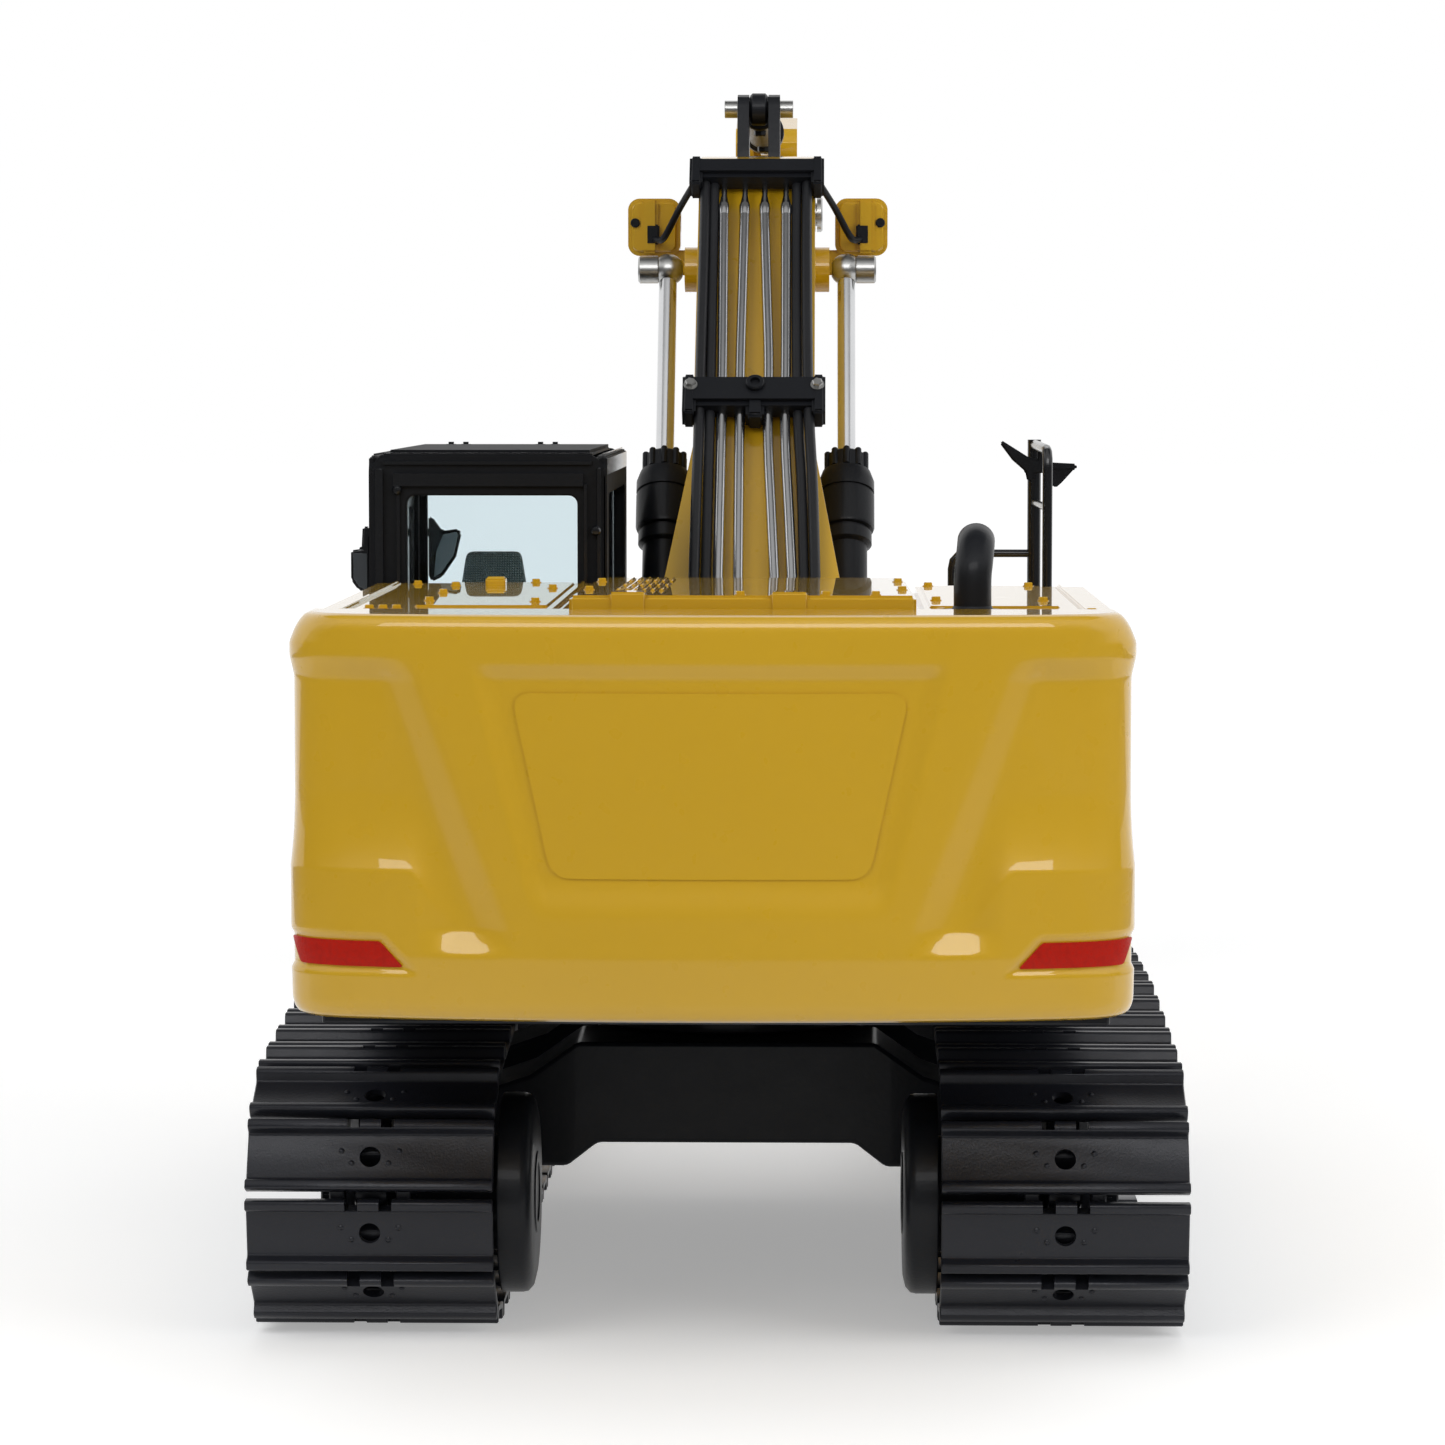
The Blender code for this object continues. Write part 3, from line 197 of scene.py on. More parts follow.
def set_out_tree():
    """A node tree that sets one part out on points, each turned by the point's own angles."""
    tree = bpy.data.node_groups.new("set out", "GeometryNodeTree")
    tree.interface.new_socket("Places", in_out="INPUT", socket_type="NodeSocketGeometry")
    for label, kind in (("Part", "Object"), ("Size", "Float"), ("Finish", "Material")):
        tree.interface.new_socket(label, in_out="INPUT", socket_type=f"NodeSocket{kind}")
    tree.interface.new_socket("Parts", in_out="OUTPUT", socket_type="NodeSocketGeometry")
    kinds = {
        "start": "NodeGroupInput",
        "part": "GeometryNodeObjectInfo",
        "turn": "GeometryNodeInputNamedAttribute",
        "instance": "GeometryNodeInstanceOnPoints",
        "realize": "GeometryNodeRealizeInstances",
        "finish": "GeometryNodeSetMaterial",
        "end": "NodeGroupOutput",
    }
    node = {label: tree.nodes.new(kind) for label, kind in kinds.items()}
    node["turn"].data_type = "FLOAT_VECTOR"
    node["turn"].inputs["Name"].default_value = "turn"
    link = tree.links.new
    link(node["start"].outputs["Places"], node["instance"].inputs["Points"])
    link(node["start"].outputs["Part"], node["part"].inputs["Object"])
    link(node["part"].outputs["Geometry"], node["instance"].inputs["Instance"])
    link(node["turn"].outputs["Attribute"], node["instance"].inputs["Rotation"])
    link(node["start"].outputs["Size"], node["instance"].inputs["Scale"])
    link(node["instance"].outputs["Instances"], node["realize"].inputs["Geometry"])
    link(node["realize"].outputs["Geometry"], node["finish"].inputs["Geometry"])
    link(node["start"].outputs["Finish"], node["finish"].inputs["Material"])
    link(node["finish"].outputs["Geometry"], node["end"].inputs["Parts"])
    return tree


SET_OUT = set_out_tree()


def set_out(name, part, places, finish, body, nodes=(), lift=0.0, size=1.0):
    """Repeats a part at places, each a point in machine millimetres and a 3 x 3 turn, as one piece."""
    pattern = bpy.data.objects.new("pattern", mesh_in_metres("pattern", part, 0.0, 0.0))
    spots = bpy.data.meshes.new("spots")
    spots.from_pydata([(Vector(at) + Vector((0, SWING_Y, lift))) * MM for at, turn in places], [], [])
    turns = spots.attributes.new("turn", "FLOAT_VECTOR", "POINT")
    for entry, (at, turn) in zip(turns.data, places):
        entry.vector = turn.to_euler()
    carrier = bpy.data.objects.new("spots", spots)
    for helper in (pattern, carrier):
        bpy.context.scene.collection.objects.link(helper)
    step = carrier.modifiers.new("set out", "NODES")
    step.node_group = SET_OUT
    sockets = {item.name: item.identifier for item in SET_OUT.interface.items_tree if item.in_out == "INPUT"}
    step[sockets["Part"]] = pattern
    step[sockets["Size"]] = size
    step[sockets["Finish"]] = finish
    mesh = bpy.data.meshes.new_from_object(carrier.evaluated_get(bpy.context.evaluated_depsgraph_get()))
    for helper in (pattern, carrier):
        bpy.data.objects.remove(helper, do_unlink=True)
    mesh.name = name
    return seat_piece(name, mesh, None, body, nodes, even=False)


class Tone:
    """A shader socket that Python's operators can work on. Any other node comes from its add method."""

    def __init__(self, tree, socket=None):
        self.tree = tree
        self.socket = socket

    def add(self, kind, settings, sockets, output=0):
        node = self.tree.nodes.new(kind)
        for key, value in settings.items():
            setattr(node, key, value)
        for key, value in sockets.items():
            if isinstance(value, Tone):
                self.tree.links.new(value.socket, node.inputs[key])
            else:
                node.inputs[key].default_value = value
        return Tone(self.tree, node.outputs[output])

    def work_out(self, operation, first, second):
        return self.add("ShaderNodeMath", {"operation": operation}, {0: first, 1: second})

    def __add__(self, other):
        return self.work_out("ADD", self, other)

    def __mul__(self, other):
        return self.work_out("MULTIPLY", self, other)

    __radd__ = __add__
    __rmul__ = __mul__

    def into(self, shader, label):
        self.tree.links.new(self.socket, shader.inputs[label])


def new_finish(name, constants):
    """A Principled material with its constants set. Returns it, its shader and a Tone to build on."""
    material = bpy.data.materials.new(name)
    material.use_nodes = True
    shader = material.node_tree.nodes["Principled BSDF"]
    for label, value in constants.items():
        shader.inputs[label].default_value = value
    return material, shader, Tone(material.node_tree)


def mottle(start, scale, detail=2.0, stretch=(1, 1, 1)):
    """Soft noise from 0 to 1 over the piece, drawn out along an axis where stretch is below 1."""
    place = start.add("ShaderNodeTexCoord", {}, {}, "Object")
    place = start.add("ShaderNodeMapping", {}, {"Vector": place, "Scale": stretch})
    return start.add("ShaderNodeTexNoise", {}, {"Vector": place, "Scale": scale, "Detail": detail})


def blend_colour(start, part, first, second):
    return start.add("ShaderNodeMix", {"data_type": "RGBA"}, {0: part, 6: (*first, 1), 7: (*second, 1)}, 2)


def raise_skin(start, shader, height, depth):
    start.add("ShaderNodeBump", {}, {"Height": height, "Distance": depth}).into(shader, "Normal")


def coated(name, first, second, roughness, spread, grain, depth, constants):
    """A finish that drifts between two colours, with uneven gloss and a fine skin."""
    material, shader, start = new_finish(name, constants)
    drift = mottle(start, 26.0)
    blend_colour(start, drift, first, second).into(shader, "Base Color")
    (mottle(start, 140.0, 3.0) * spread + (roughness - spread / 2)).into(shader, "Roughness")
    raise_skin(start, shader, mottle(start, grain, 3.0), depth)
    return material


blackened_steel = coated(
    "blackened steel", (0.010, 0.011, 0.015), (0.018, 0.019, 0.025), 0.31, 0.14, 1600, 0.00006,
    {"Metallic": 0.2, "Specular IOR Level": 0.36},
)


def polar(centre, length, degrees):
    angle = math.radians(degrees)
    return centre[0] + length * math.cos(angle), centre[1] + length * math.sin(angle)


def belt_joints():
    """A chain's pins as (y, z), evenly spaced round its wheels and two carrier rollers, and their pitch."""
    wheels = [(y, WHEEL_Z, PIN_RADIUS) for y in (-WHEEL_Y, WHEEL_Y)]
    wheels += [(y, CARRIER_Z, CARRIER_RADIUS) for y in (CARRIER_Y, -CARRIER_Y)]
    leaving = []
    for here, ahead in zip(wheels, wheels[1:] + wheels[:1]):
        heading = math.atan2(ahead[1] - here[1], ahead[0] - here[0])
        distance = math.dist(here[:2], ahead[:2])
        leaving.append(heading - math.acos((here[2] - ahead[2]) / distance))
    line = []
    for number, (y, z, radius) in enumerate(wheels):
        first = leaving[number - 1]
        swept = (leaving[number] - first) % (2 * math.pi)
        line += [polar((y, z), radius, math.degrees(first + swept * n / 40)) for n in range(41)]
    lengths = [math.dist(a, b) for a, b in zip(line, line[1:] + line[:1])]
    pitch = sum(lengths) / SHOE_COUNT
    joints = []
    travelled = 0.0
    for start, end, length in zip(line, line[1:] + line[:1], lengths):
        while len(joints) < SHOE_COUNT and (len(joints) + FIRST_PIN) * pitch < travelled + length:
            part = ((len(joints) + FIRST_PIN) * pitch - travelled) / length
            joints.append((start[0] + (end[0] - start[0]) * part, start[1] + (end[1] - start[1]) * part))
        travelled += length
    return joints, pitch


def shoe_part(pitch):
    """One shoe: X across the track, Y along the chain and Z away from it, with the plate's face at Z 0."""
    half = SHOE_WIDTH / 2
    steps = [
        (0.10, -1.9), (0.055, -0.4), (0.045, 2.3), (0.065, 3.0), (0.16, 3.0), (0.185, 2.2), (0.205, 0.35),
        (0.23, 0.0),
    ]
    profile = [((part - 0.5) * pitch, z) for part, z in steps]
    profile += [(-y, z) for y, z in reversed(profile)]
    shoe = extruded(profile, -half, half, "X", 0.3, 1)
    hole = turned([(-8, 0), (-8, 2.9), (8, 2.9), (8, 0)], (0, 0, 0), (0, 0, 1), 20)
    notches = [block((x - 1.75, x + 1.75), (-12, -7.4), (-5, 8)) for x in (-4.6, 4.6)]
    shoe = cut_from(shoe, hole, *notches)
    rivets = []
    rivet = [(-0.4, 0), (-0.4, 0.9), (0.15, 0.8), (0.42, 0.45), (0.5, 0)]
    for x, y in ((-7.8, -1.6), (7.8, -1.6), (-5.0, 1.8), (5.0, 1.8)):
        rivets.append(turned(rivet, (x, y, 0), (0, 0, 1), 10))
    links = []
    for side in (-1, 1):
        link = [
            (-pitch * 0.62, -8.6), (-pitch * 0.62, -3.6), (-pitch * 0.40, -2.4), (pitch * 0.40, -2.4),
            (pitch * 0.44, -3.6), (pitch * 0.44, -8.6), (pitch * 0.30, -9.4), (-pitch * 0.50, -9.4),
        ]
        links.append(extruded(link, side * 9.0 - 2.0, side * 9.0 + 2.0, "X", 0.4, 1))
        stub = [(side * 7.0, 0), (side * 7.0, 2.0), (side * 12.5, 2.0), (side * 12.5, 0)]
        links.append(turned(stub, (0, -pitch / 2, -5.6), (1, 0, 0), 14))
    return joined(shoe, *rivets, *links)


CHAIN_JOINTS, CHAIN_PITCH = belt_joints()
for name, side in SIDES:
    places = []
    for start, end in zip(CHAIN_JOINTS, CHAIN_JOINTS[1:] + CHAIN_JOINTS[:1]):
        along = Vector((0, end[0] - start[0], end[1] - start[1])).normalized()
        out = Vector((0, along.z, -along.y))
        middle = (side * TRACK_X, (start[0] + end[0]) / 2, (start[1] + end[1]) / 2)
        places.append((middle, Matrix((Vector((-1, 0, 0)), along, out)).transposed()))
    shoes = f"{name}_track_shoes"
    set_out(
        shoes, shoe_part(CHAIN_PITCH), places, blackened_steel, "chassis",
        [f"{name}_track_chain"],
    )

# Running gear. Sprockets drive the chains at the rear, idlers carry them at the front, and banks of rollers
# between them bear the weight. Wheels are turned and blackened. Drive housings and frames are painted black.

satin_black = coated(
    "satin black paint", (0.006, 0.007, 0.009), (0.010, 0.011, 0.014), 0.36, 0.12, 900, 0.00005,
    {"Coat Weight": 0.06, "Specular IOR Level": 0.17},
)


def piece(name, shape, finish, body, nodes=(), lift=0.0, even=True):
    return seat_piece(name, mesh_in_metres(name, shape, lift), finish, body, nodes, even)


def dressed(node, finish, body, radius):
    """A CAD node's own shape with its edges rounded, to stand in the node's place."""
    shape = bmesh.new()
    shape.from_mesh(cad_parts[node].data)
    bmesh.ops.remove_doubles(shape, verts=shape.verts, dist=0.00001)
    bmesh.ops.dissolve_limit(shape, angle_limit=0.02, verts=shape.verts, edges=shape.edges)
    mesh = bpy.data.meshes.new(f"{node}_form")
    shape.to_mesh(mesh)
    shape.free()
    mesh.shade_smooth()
    mesh.set_sharp_from_angle(angle=math.radians(50))
    made = seat_piece(f"{node}_form", mesh, finish, body, [node], even=False)
    step = made.modifiers.new("rounding", "BEVEL")
    step.width = radius * MM
    step.segments = 2
    step.limit_method = "ANGLE"
    step.angle_limit = math.radians(30)
    made.modifiers.new("even shading", "WEIGHTED_NORMAL").keep_sharp = True
    return made


def span(side, inner, outer):
    return tuple(sorted((side * inner, side * outer)))


TEETH = 14
ROLLERS = 7
ROLLER_PITCH = 36.0
ROLLER = [
    (0, 0), (0, 4.6), (0.6, 5.2), (2.0, 5.5), (5.2, 5.5), (5.8, 4.5), (18.6, 4.5), (19.2, 5.5),
    (22.4, 5.5), (23.8, 5.2), (24.4, 4.6), (24.4, 0),
]
IDLER = [
    (-11.0, 4.5), (-11.0, 12.5), (-9.6, 13.5), (-9.6, 18.5), (-11.0, 19.5), (-11.0, 21.4), (-10.5, 21.8),
    (-6.0, 21.8), (-5.2, 26.0), (-4.6, 26.5),
]
IDLER += [(-along, radius) for along, radius in reversed(IDLER)]
DRIVE = [
    (50.5, 0), (50.5, 8.0), (50.1, 8.4), (50.1, 11.0), (50.5, 11.4), (50.5, 22.6), (51.2, 25.6),
    (52.6, 27.2), (54.0, 27.5), (59.4, 27.5), (59.8, 27.2), (59.8, 16.0), (80.0, 14.5), (85.0, 14.0),
    (85.0, 6.0), (106.2, 6.0), (106.2, 9.0), (108.9, 9.0), (109.4, 8.5), (109.4, 4.0), (108.8, 3.6),
    (108.8, 0),
]
TOOTH = [
    (0.0, 24.3), (0.125, 24.1), (0.25, 24.3), (0.37, 26.6), (0.47, 28.0), (0.625, 28.3), (0.78, 28.0),
    (0.88, 26.6),
]

for name, side in SIDES:
    teeth = []
    for tooth in range(TEETH):
        for step, radius in TOOTH:
            teeth.append(polar((-WHEEL_Y, WHEEL_Z), radius, 360 * (tooth + step) / TEETH))
    wheel = extruded(teeth, side * TRACK_X - 4.5, side * TRACK_X + 4.5, "X", 0.4, 1)
    hub = [
        (4.0, 6.6), (4.0, 14.5), (4.8, 14.5), (11.4, 13.2), (12.0, 12.6), (12.0, 9.4), (11.2, 8.8),
        (11.2, 6.6),
    ]
    hub = turned(hub, (side * TRACK_X, -WHEEL_Y, WHEEL_Z), (side, 0, 0), 40)
    wheel = joined(wheel, hub)
    piece(
        f"{name}_sprocket_wheel", wheel, blackened_steel, f"{name}_sprocket",
        [f"{name}_sprocket"],
    )
    wheel = turned(IDLER, (side * TRACK_X, WHEEL_Y, WHEEL_Z), (side, 0, 0), 48)
    piece(
        f"{name}_idler_wheel", wheel, blackened_steel, f"{name}_idler", [f"{name}_idler"]
    )
    drive = turned(DRIVE, (0, -WHEEL_Y, WHEEL_Z), (side, 0, 0), 48)
    piece(f"{name}_drive_housing", drive, satin_black, "chassis", [f"{name}_final_drive"])
    dressed(f"{name}_track_frame", satin_black, "chassis", 0.7)
    rollers = []
    for n in range(ROLLERS):
        y = ROLLER_PITCH * (n - (ROLLERS - 1) / 2)
        rollers.append(turned(ROLLER, (side * 80.4, y, 18.3), (side, 0, 0), 28))
    guard = [(-114, 15.4), (-110, 14.8), (110, 14.8), (114, 15.4), (114, 26.6), (-114, 26.6)]
    rollers.append(extruded(guard, *span(side, 104.8, 108.4), "X", 0.6))
    piece(
        f"{name}_rollers", joined(*rollers), blackened_steel, "chassis",
        [f"{name}_roller_bank"],
    )

# Lower frame. A welded steel box joins the two track frames, arched over the ground between them, and
# the slewing bearing is bolted on top of it.

dressed("lower_frame", satin_black, "chassis", 1.2)
bearing = [
    (0, 30), (0, 45.4), (0.6, 46), (4.2, 46), (4.6, 45.2), (5.2, 45.2), (5.6, 46), (8.9, 46), (9.5, 45.4),
    (9.5, 30),
]
piece(
    "slewing_bearing", turned(bearing, (0, 0, 66.3), (0, 0, 1), 72), satin_black, "chassis",
    ["slew_ring"],
)

# Upper frame. The turntable's base plate carries the cheeks of the boom foot and the lugs of the boom
# cylinders, all welded and painted black. The boom's foot turns on a bright pin with a flat head at each end.

UPPER = 8.6
BOOM_X = 6.0
BOOM_FOOT = (8.0, 138.0)

bright_steel = coated(
    "bright steel", (0.40, 0.40, 0.39), (0.52, 0.52, 0.51), 0.30, 0.12, 420, 0.00002, {"Metallic": 1.0}
)


def headed_pin(place, half, radius):
    """A pin across the boom's plane: a dished flat head at each end, with a chamfer."""
    end = [
        (half + 2.2, 0), (half + 2.2, 2.4), (half + 1.7, 2.9), (half + 1.7, 4.8), (half + 2.2, 5.2),
        (half + 2.2, 6.4), (half + 1.6, 7.0), (half, 7.0), (half, radius),
    ]
    profile = [(-along, size) for along, size in end] + end[::-1]
    return turned(profile, (BOOM_X, *place), (1, 0, 0), 36)


dressed("upper_frame", satin_black, "upper", 0.8)
piece(
    "boom_foot_pin_turned", headed_pin(BOOM_FOOT, 32.3, 4.6), bright_steel, "upper",
    ["boom_foot_pin"], UPPER,
)

# Counterweight. One heavy casting closes the rear of the upper body. Its corners are scooped out above a
# ledge, a shallow panel is let into its back, and it is sprayed in the machine's glossy yellow.

WEIGHT_HALF = 108.0
WEIGHT_BACK = -252.0
WEIGHT_FRONT = -216.0
WEIGHT_LOW = 90.5
WEIGHT_HEIGHT = 103.0
SCOOP_DEPTH = 3.0
PANEL_DEPTH = 1.5
PLAN_POWER = 0.92
GRID = 140
LENS_LOW = 104.3
LENS_HEIGHT = 6.5


def yellow_gloss():
    """Yellow enamel under clear lacquer, with a faint orange peel."""
    settings = {"Coat Weight": 1.0, "Coat Roughness": 0.015, "Coat IOR": 1.5, "Specular IOR Level": 0.2}
    material, shader, start = new_finish("yellow enamel", settings)
    drift = mottle(start, 14.0, 1.0)
    blend_colour(start, drift, (0.560, 0.326, 0.008), (0.600, 0.352, 0.011)).into(shader, "Base Color")
    (mottle(start, 160.0, 2.0) * 0.10 + 0.24).into(shader, "Roughness")
    raise_skin(start, shader, mottle(start, 420.0, 1.0), 0.000004)
    return material


yellow_enamel = yellow_gloss()


def ease(value, low, high):
    """0 below low, 1 above high, and a smooth rise between."""
    part = min(max((value - low) / (high - low), 0.0), 1.0)
    return part * part * (3 - 2 * part)


def ramp(value, low, high, soft=0.18):
    """0 below low, 1 above high, and a straight rise between with both of its ends rounded."""
    part = min(max((value - low) / (high - low), 0.0), 1.0)
    if part > 0.5:
        return 1 - ramp(1 - part, 0.0, 1.0, soft)
    rise = part * part / (2 * soft) if part < soft else part - soft / 2
    return rise / (1 - soft)


def quarter_round(depth, size):
    """How far a rounded edge of one size has drawn in at a depth past its start."""
    return 1 - math.sqrt(1 - min(max(depth / size, 0.0), 1.0) ** 2)


def weight_inset(x, z):
    """How far the casting's skin lies under its full outline."""
    reach = abs(x)
    # the scooped corners, over a ledge that steps up towards the ends
    line = 114.4 + 14.4 * ease(reach, 63, 77)
    climb = min(max((z - line) / 20.0, 0.0), 1.0)
    bevel = 2.4 * ramp(z, 107.1, 114.4) * (1 - ease(reach, 64, 75))
    scoop = bevel + climb * (2 - climb) * (SCOOP_DEPTH - bevel)
    scoop_edge = 50.0 + 24.0 * (z - 115.0) / 66.0
    scoop *= ramp(reach, scoop_edge - 1, scoop_edge + 12, 0.3) * (1 - 0.6 * ease(reach, 90, 106))
    scoop *= 1 - ramp(z, 176.5, 183.0)
    # the panel, wider at its top, and the lean of the skirt under it
    panel_edge = 44.0 + 14.0 * (z - 124.0) / 57.0
    panel = 1 - ramp(reach, panel_edge - 3, panel_edge + 3, 0.3)
    panel *= ease(z, 117.0, 128.0) * (1 - ramp(z, 177.0, 181.6))
    tilt = 1.6 * max((107.0 - z) / 16.5, 0.0) * (1 - 0.8 * ease(reach, 84, 106))
    # the pockets of the reflectors, and the rounded lower and upper rims
    pocket_edge = 76.2 + 6.0 * (z - LENS_LOW) / LENS_HEIGHT
    pocket = ease(reach, pocket_edge - 1.2, pocket_edge + 0.8)
    pocket *= ease(z, 102.2, 104.0) * (1 - ease(z, 111.0, 112.8))
    foot = 3.0 * quarter_round(95.5 - z, 5.0)
    top = 2.4 * quarter_round(z - 188.5, 5.0) + 3.0 * ease(reach, 94, 107) * ramp(z, 185.0, 194.0)
    return scoop + PANEL_DEPTH * panel + tilt + 0.8 * pocket + foot + top


def weight_plan(part):
    """A point (x, y) of the casting's plan and its outward direction. part runs from -1 to 1."""
    x = WEIGHT_HALF * math.copysign(abs(math.sin(math.radians(90 * part))) ** PLAN_POWER, part)
    edge = abs(x) / WEIGHT_HALF
    y = WEIGHT_BACK + 9.0 * edge**2 + 15.0 * (1 - math.sqrt(max(1 - edge**12, 0.0)))
    across = math.copysign(edge**10, x) + 0.16 * x / WEIGHT_HALF
    out = Vector((across, -math.sqrt(max(1 - edge**20, 0.0)) - 0.02))
    return x, y, out.normalized()


def weight_point(part, z, lift=0.0):
    x, y, out = weight_plan(part)
    depth = weight_inset(x, z) - lift
    return x - out.x * depth, y - out.y * depth, z


def weight_casting():
    levels = [WEIGHT_LOW + WEIGHT_HEIGHT * n / GRID for n in range(GRID + 1)]
    parts = [n / GRID for n in range(-GRID, GRID + 1)]
    shape = bmesh.new()
    rings = []
    for z in levels:
        ring = [shape.verts.new(weight_point(part, z)) for part in parts]
        flank = WEIGHT_HALF - weight_inset(WEIGHT_HALF, z)
        front = WEIGHT_FRONT - 0.5 * max(z - 190.0, 0.0)
        for y in (WEIGHT_FRONT - 6, front):
            ring.append(shape.verts.new((flank, y, z)))
        for y in (front, WEIGHT_FRONT - 6):
            ring.append(shape.verts.new((-flank, y, z)))
        rings.append(ring)
    for low, high in zip(rings, rings[1:]):
        bridge(shape, low, high)
    shape.faces.new(rings[0])
    shape.faces.new(rings[-1][::-1])
    return shape


piece("weight_casting", weight_casting(), yellow_enamel, "upper", ["counterweight"], UPPER)


def weight_patch(x_edge, low, high, corner, lift, rows=24, columns=48):
    """A thin skin on the casting between two heights, as wide as x_edge(z) says, with rounded corners."""
    shape = bmesh.new()
    layers = []
    for stand in (lift, lift - 1.2):
        grid = []
        for row in range(rows + 1):
            z = low + (high - low) * 0.5 * (1 - math.cos(math.pi * row / rows))
            reach = min(z - low, high - z)
            pull = corner - math.sqrt(max(corner**2 - (corner - min(reach, corner)) ** 2, 0.0))
            left, right = x_edge(z)
            line = []
            for column in range(columns + 1):
                x = left + pull + (right - left - 2 * pull) * column / columns
                angle = math.asin(min(abs(x) / WEIGHT_HALF, 1.0) ** (1 / PLAN_POWER))
                part = math.copysign(math.degrees(angle) / 90, x)
                line.append(shape.verts.new(weight_point(part, z, stand)))
            grid.append(line)
        layers.append(grid)
    for grid in layers:
        for low_row, high_row in zip(grid, grid[1:]):
            for n in range(columns):
                shape.faces.new((low_row[n], low_row[n + 1], high_row[n + 1], high_row[n]))
    rims = []
    for grid in layers:
        rim = grid[0] + [row[-1] for row in grid[1:]] + grid[-1][-2::-1] + [row[0] for row in grid[-2:0:-1]]
        rims.append(rim)
    bridge(shape, *rims)
    return shape


def panel_width(z):
    half = 39.8 + 10.2 * (z - 126.4) / 47.2
    return -half, half


panel = weight_patch(panel_width, 127.2, 174.0, 4.5, 0.45)
piece("weight_panel", panel, yellow_enamel, "upper", lift=UPPER)

# Reflectors. Two moulded red lenses are stuck on the lower corners of the counterweight, each with a slanted
# inner end and a backing of small prisms under a smooth face.


def lens_red():
    settings = {"Coat Weight": 0.05, "Coat Roughness": 0.05, "Specular IOR Level": 0.1}
    material, shader, start = new_finish("red lens", settings)
    place = start.add("ShaderNodeTexCoord", {}, {}, "Object")
    cells = start.add("ShaderNodeTexVoronoi", {"feature": "F1"}, {"Vector": place, "Scale": 900.0})
    blend_colour(start, cells, (0.47, 0.013, 0.005), (0.36, 0.008, 0.003)).into(shader, "Base Color")
    (cells * 0.15 + 0.22).into(shader, "Roughness")
    return material


def lens_width(side):
    """A lens's two ends at each height. Both lean outwards as they rise."""

    def ends(z):
        rise = (z - LENS_LOW) / LENS_HEIGHT
        return sorted((side * (77.7 + 6.0 * rise), side * (105.0 + 2.6 * rise)))

    return ends


red_lens = lens_red()
for name, side in SIDES:
    lens = weight_patch(lens_width(side), LENS_LOW, LENS_LOW + LENS_HEIGHT, 0.6, 0.5, 10, 40)
    piece(f"{name}_reflector_lens", lens, red_lens, "upper", [f"{name}_reflector"], UPPER)

# Body housings. Pressed yellow covers close the sides of the upper body: a deck on each side of the engine
# bay, service doors with pressed louvres in the flanks, and hexagon bolts through the deck.

DECK = 192.0
HATCH = DECK + 0.5


def facing(direction):
    """The turn that points a part's Z along a direction."""
    return Vector(direction).to_track_quat("Z", "Y").to_matrix()


def hex_bolt(width, height):
    """A hexagon bolt head on its washer, with Z out of the surface."""
    head = [(0.2, 0), (0.2, width / 2), (height * 0.8, width / 2), (height, width * 0.40), (height, 0)]
    washer = [(-0.3, 0), (-0.3, width * 0.62), (0.25, width * 0.62), (0.25, 0)]
    return joined(turned(head, (0, 0, 0), (0, 0, 1), 6), turned(washer, (0, 0, 0), (0, 0, 1), 16))


def rounded_outline(a, b, radius, steps=5):
    """A rectangle from a to b with round corners."""
    (left, low), (right, high) = a, b
    outline = []
    corners = ((right, high, 0), (left, high, 90), (left, low, 180), (right, low, 270))
    for x, z, first in corners:
        centre = (
            x - math.copysign(radius, x - (left + right) / 2),
            z - math.copysign(radius, z - (low + high) / 2),
        )
        outline += [polar(centre, radius, first + 90 * n / steps) for n in range(steps + 1)]
    return outline


left_cover = block((-106.0, -38.0), (-215.7, -41.0), (90.5, DECK), 2.4, 4)
left_doors = []
for back, front in ((-206, -128), (-122, -48)):
    left_doors.append(extruded(rounded_outline((back, 97), (front, 182), 4), -106.5, -104.5, "X", 0.4))
left_hatch = extruded(rounded_outline((-80.5, -180), (-45.0, -47), 2), DECK - 1, HATCH, "Z", 0.3)
beads = [block((x - 0.9, x + 0.9), (-206, -47), (DECK - 1, DECK + 0.9), 0.6, 3) for x in (-97.4, -42.4)]
left_cover = joined(left_cover, *left_doors, left_hatch, *beads)
piece("left_cover", left_cover, yellow_enamel, "upper", ["left_housing"], UPPER)

profile = [
    (-215.7, 90.5), (94, 90.5), (94, 173), (92.6, 176.8), (88, 180), (-50, 181.4), (-56, 184), (-60, DECK),
    (-215.7, DECK),
]
right_cover = extruded(profile, 53.0, 106.0, "X", 2.0, 4)
right_doors = []
for back, front in ((-206, -130), (-124, -50), (-44, 30)):
    right_doors.append(extruded(rounded_outline((back, 97), (front, 174), 4), 104.5, 106.5, "X", 0.4))
right_hatch = extruded(rounded_outline((56.5, -182), (91.0, -66), 2), DECK - 1, HATCH, "Z", 0.3)
bead = block((95.8, 97.6), (-206, -66), (DECK - 1, DECK + 0.9), 0.6, 3)
right_cover = joined(right_cover, *right_doors, right_hatch, bead)
piece("right_cover", right_cover, yellow_enamel, "upper", ["right_housing"], UPPER)

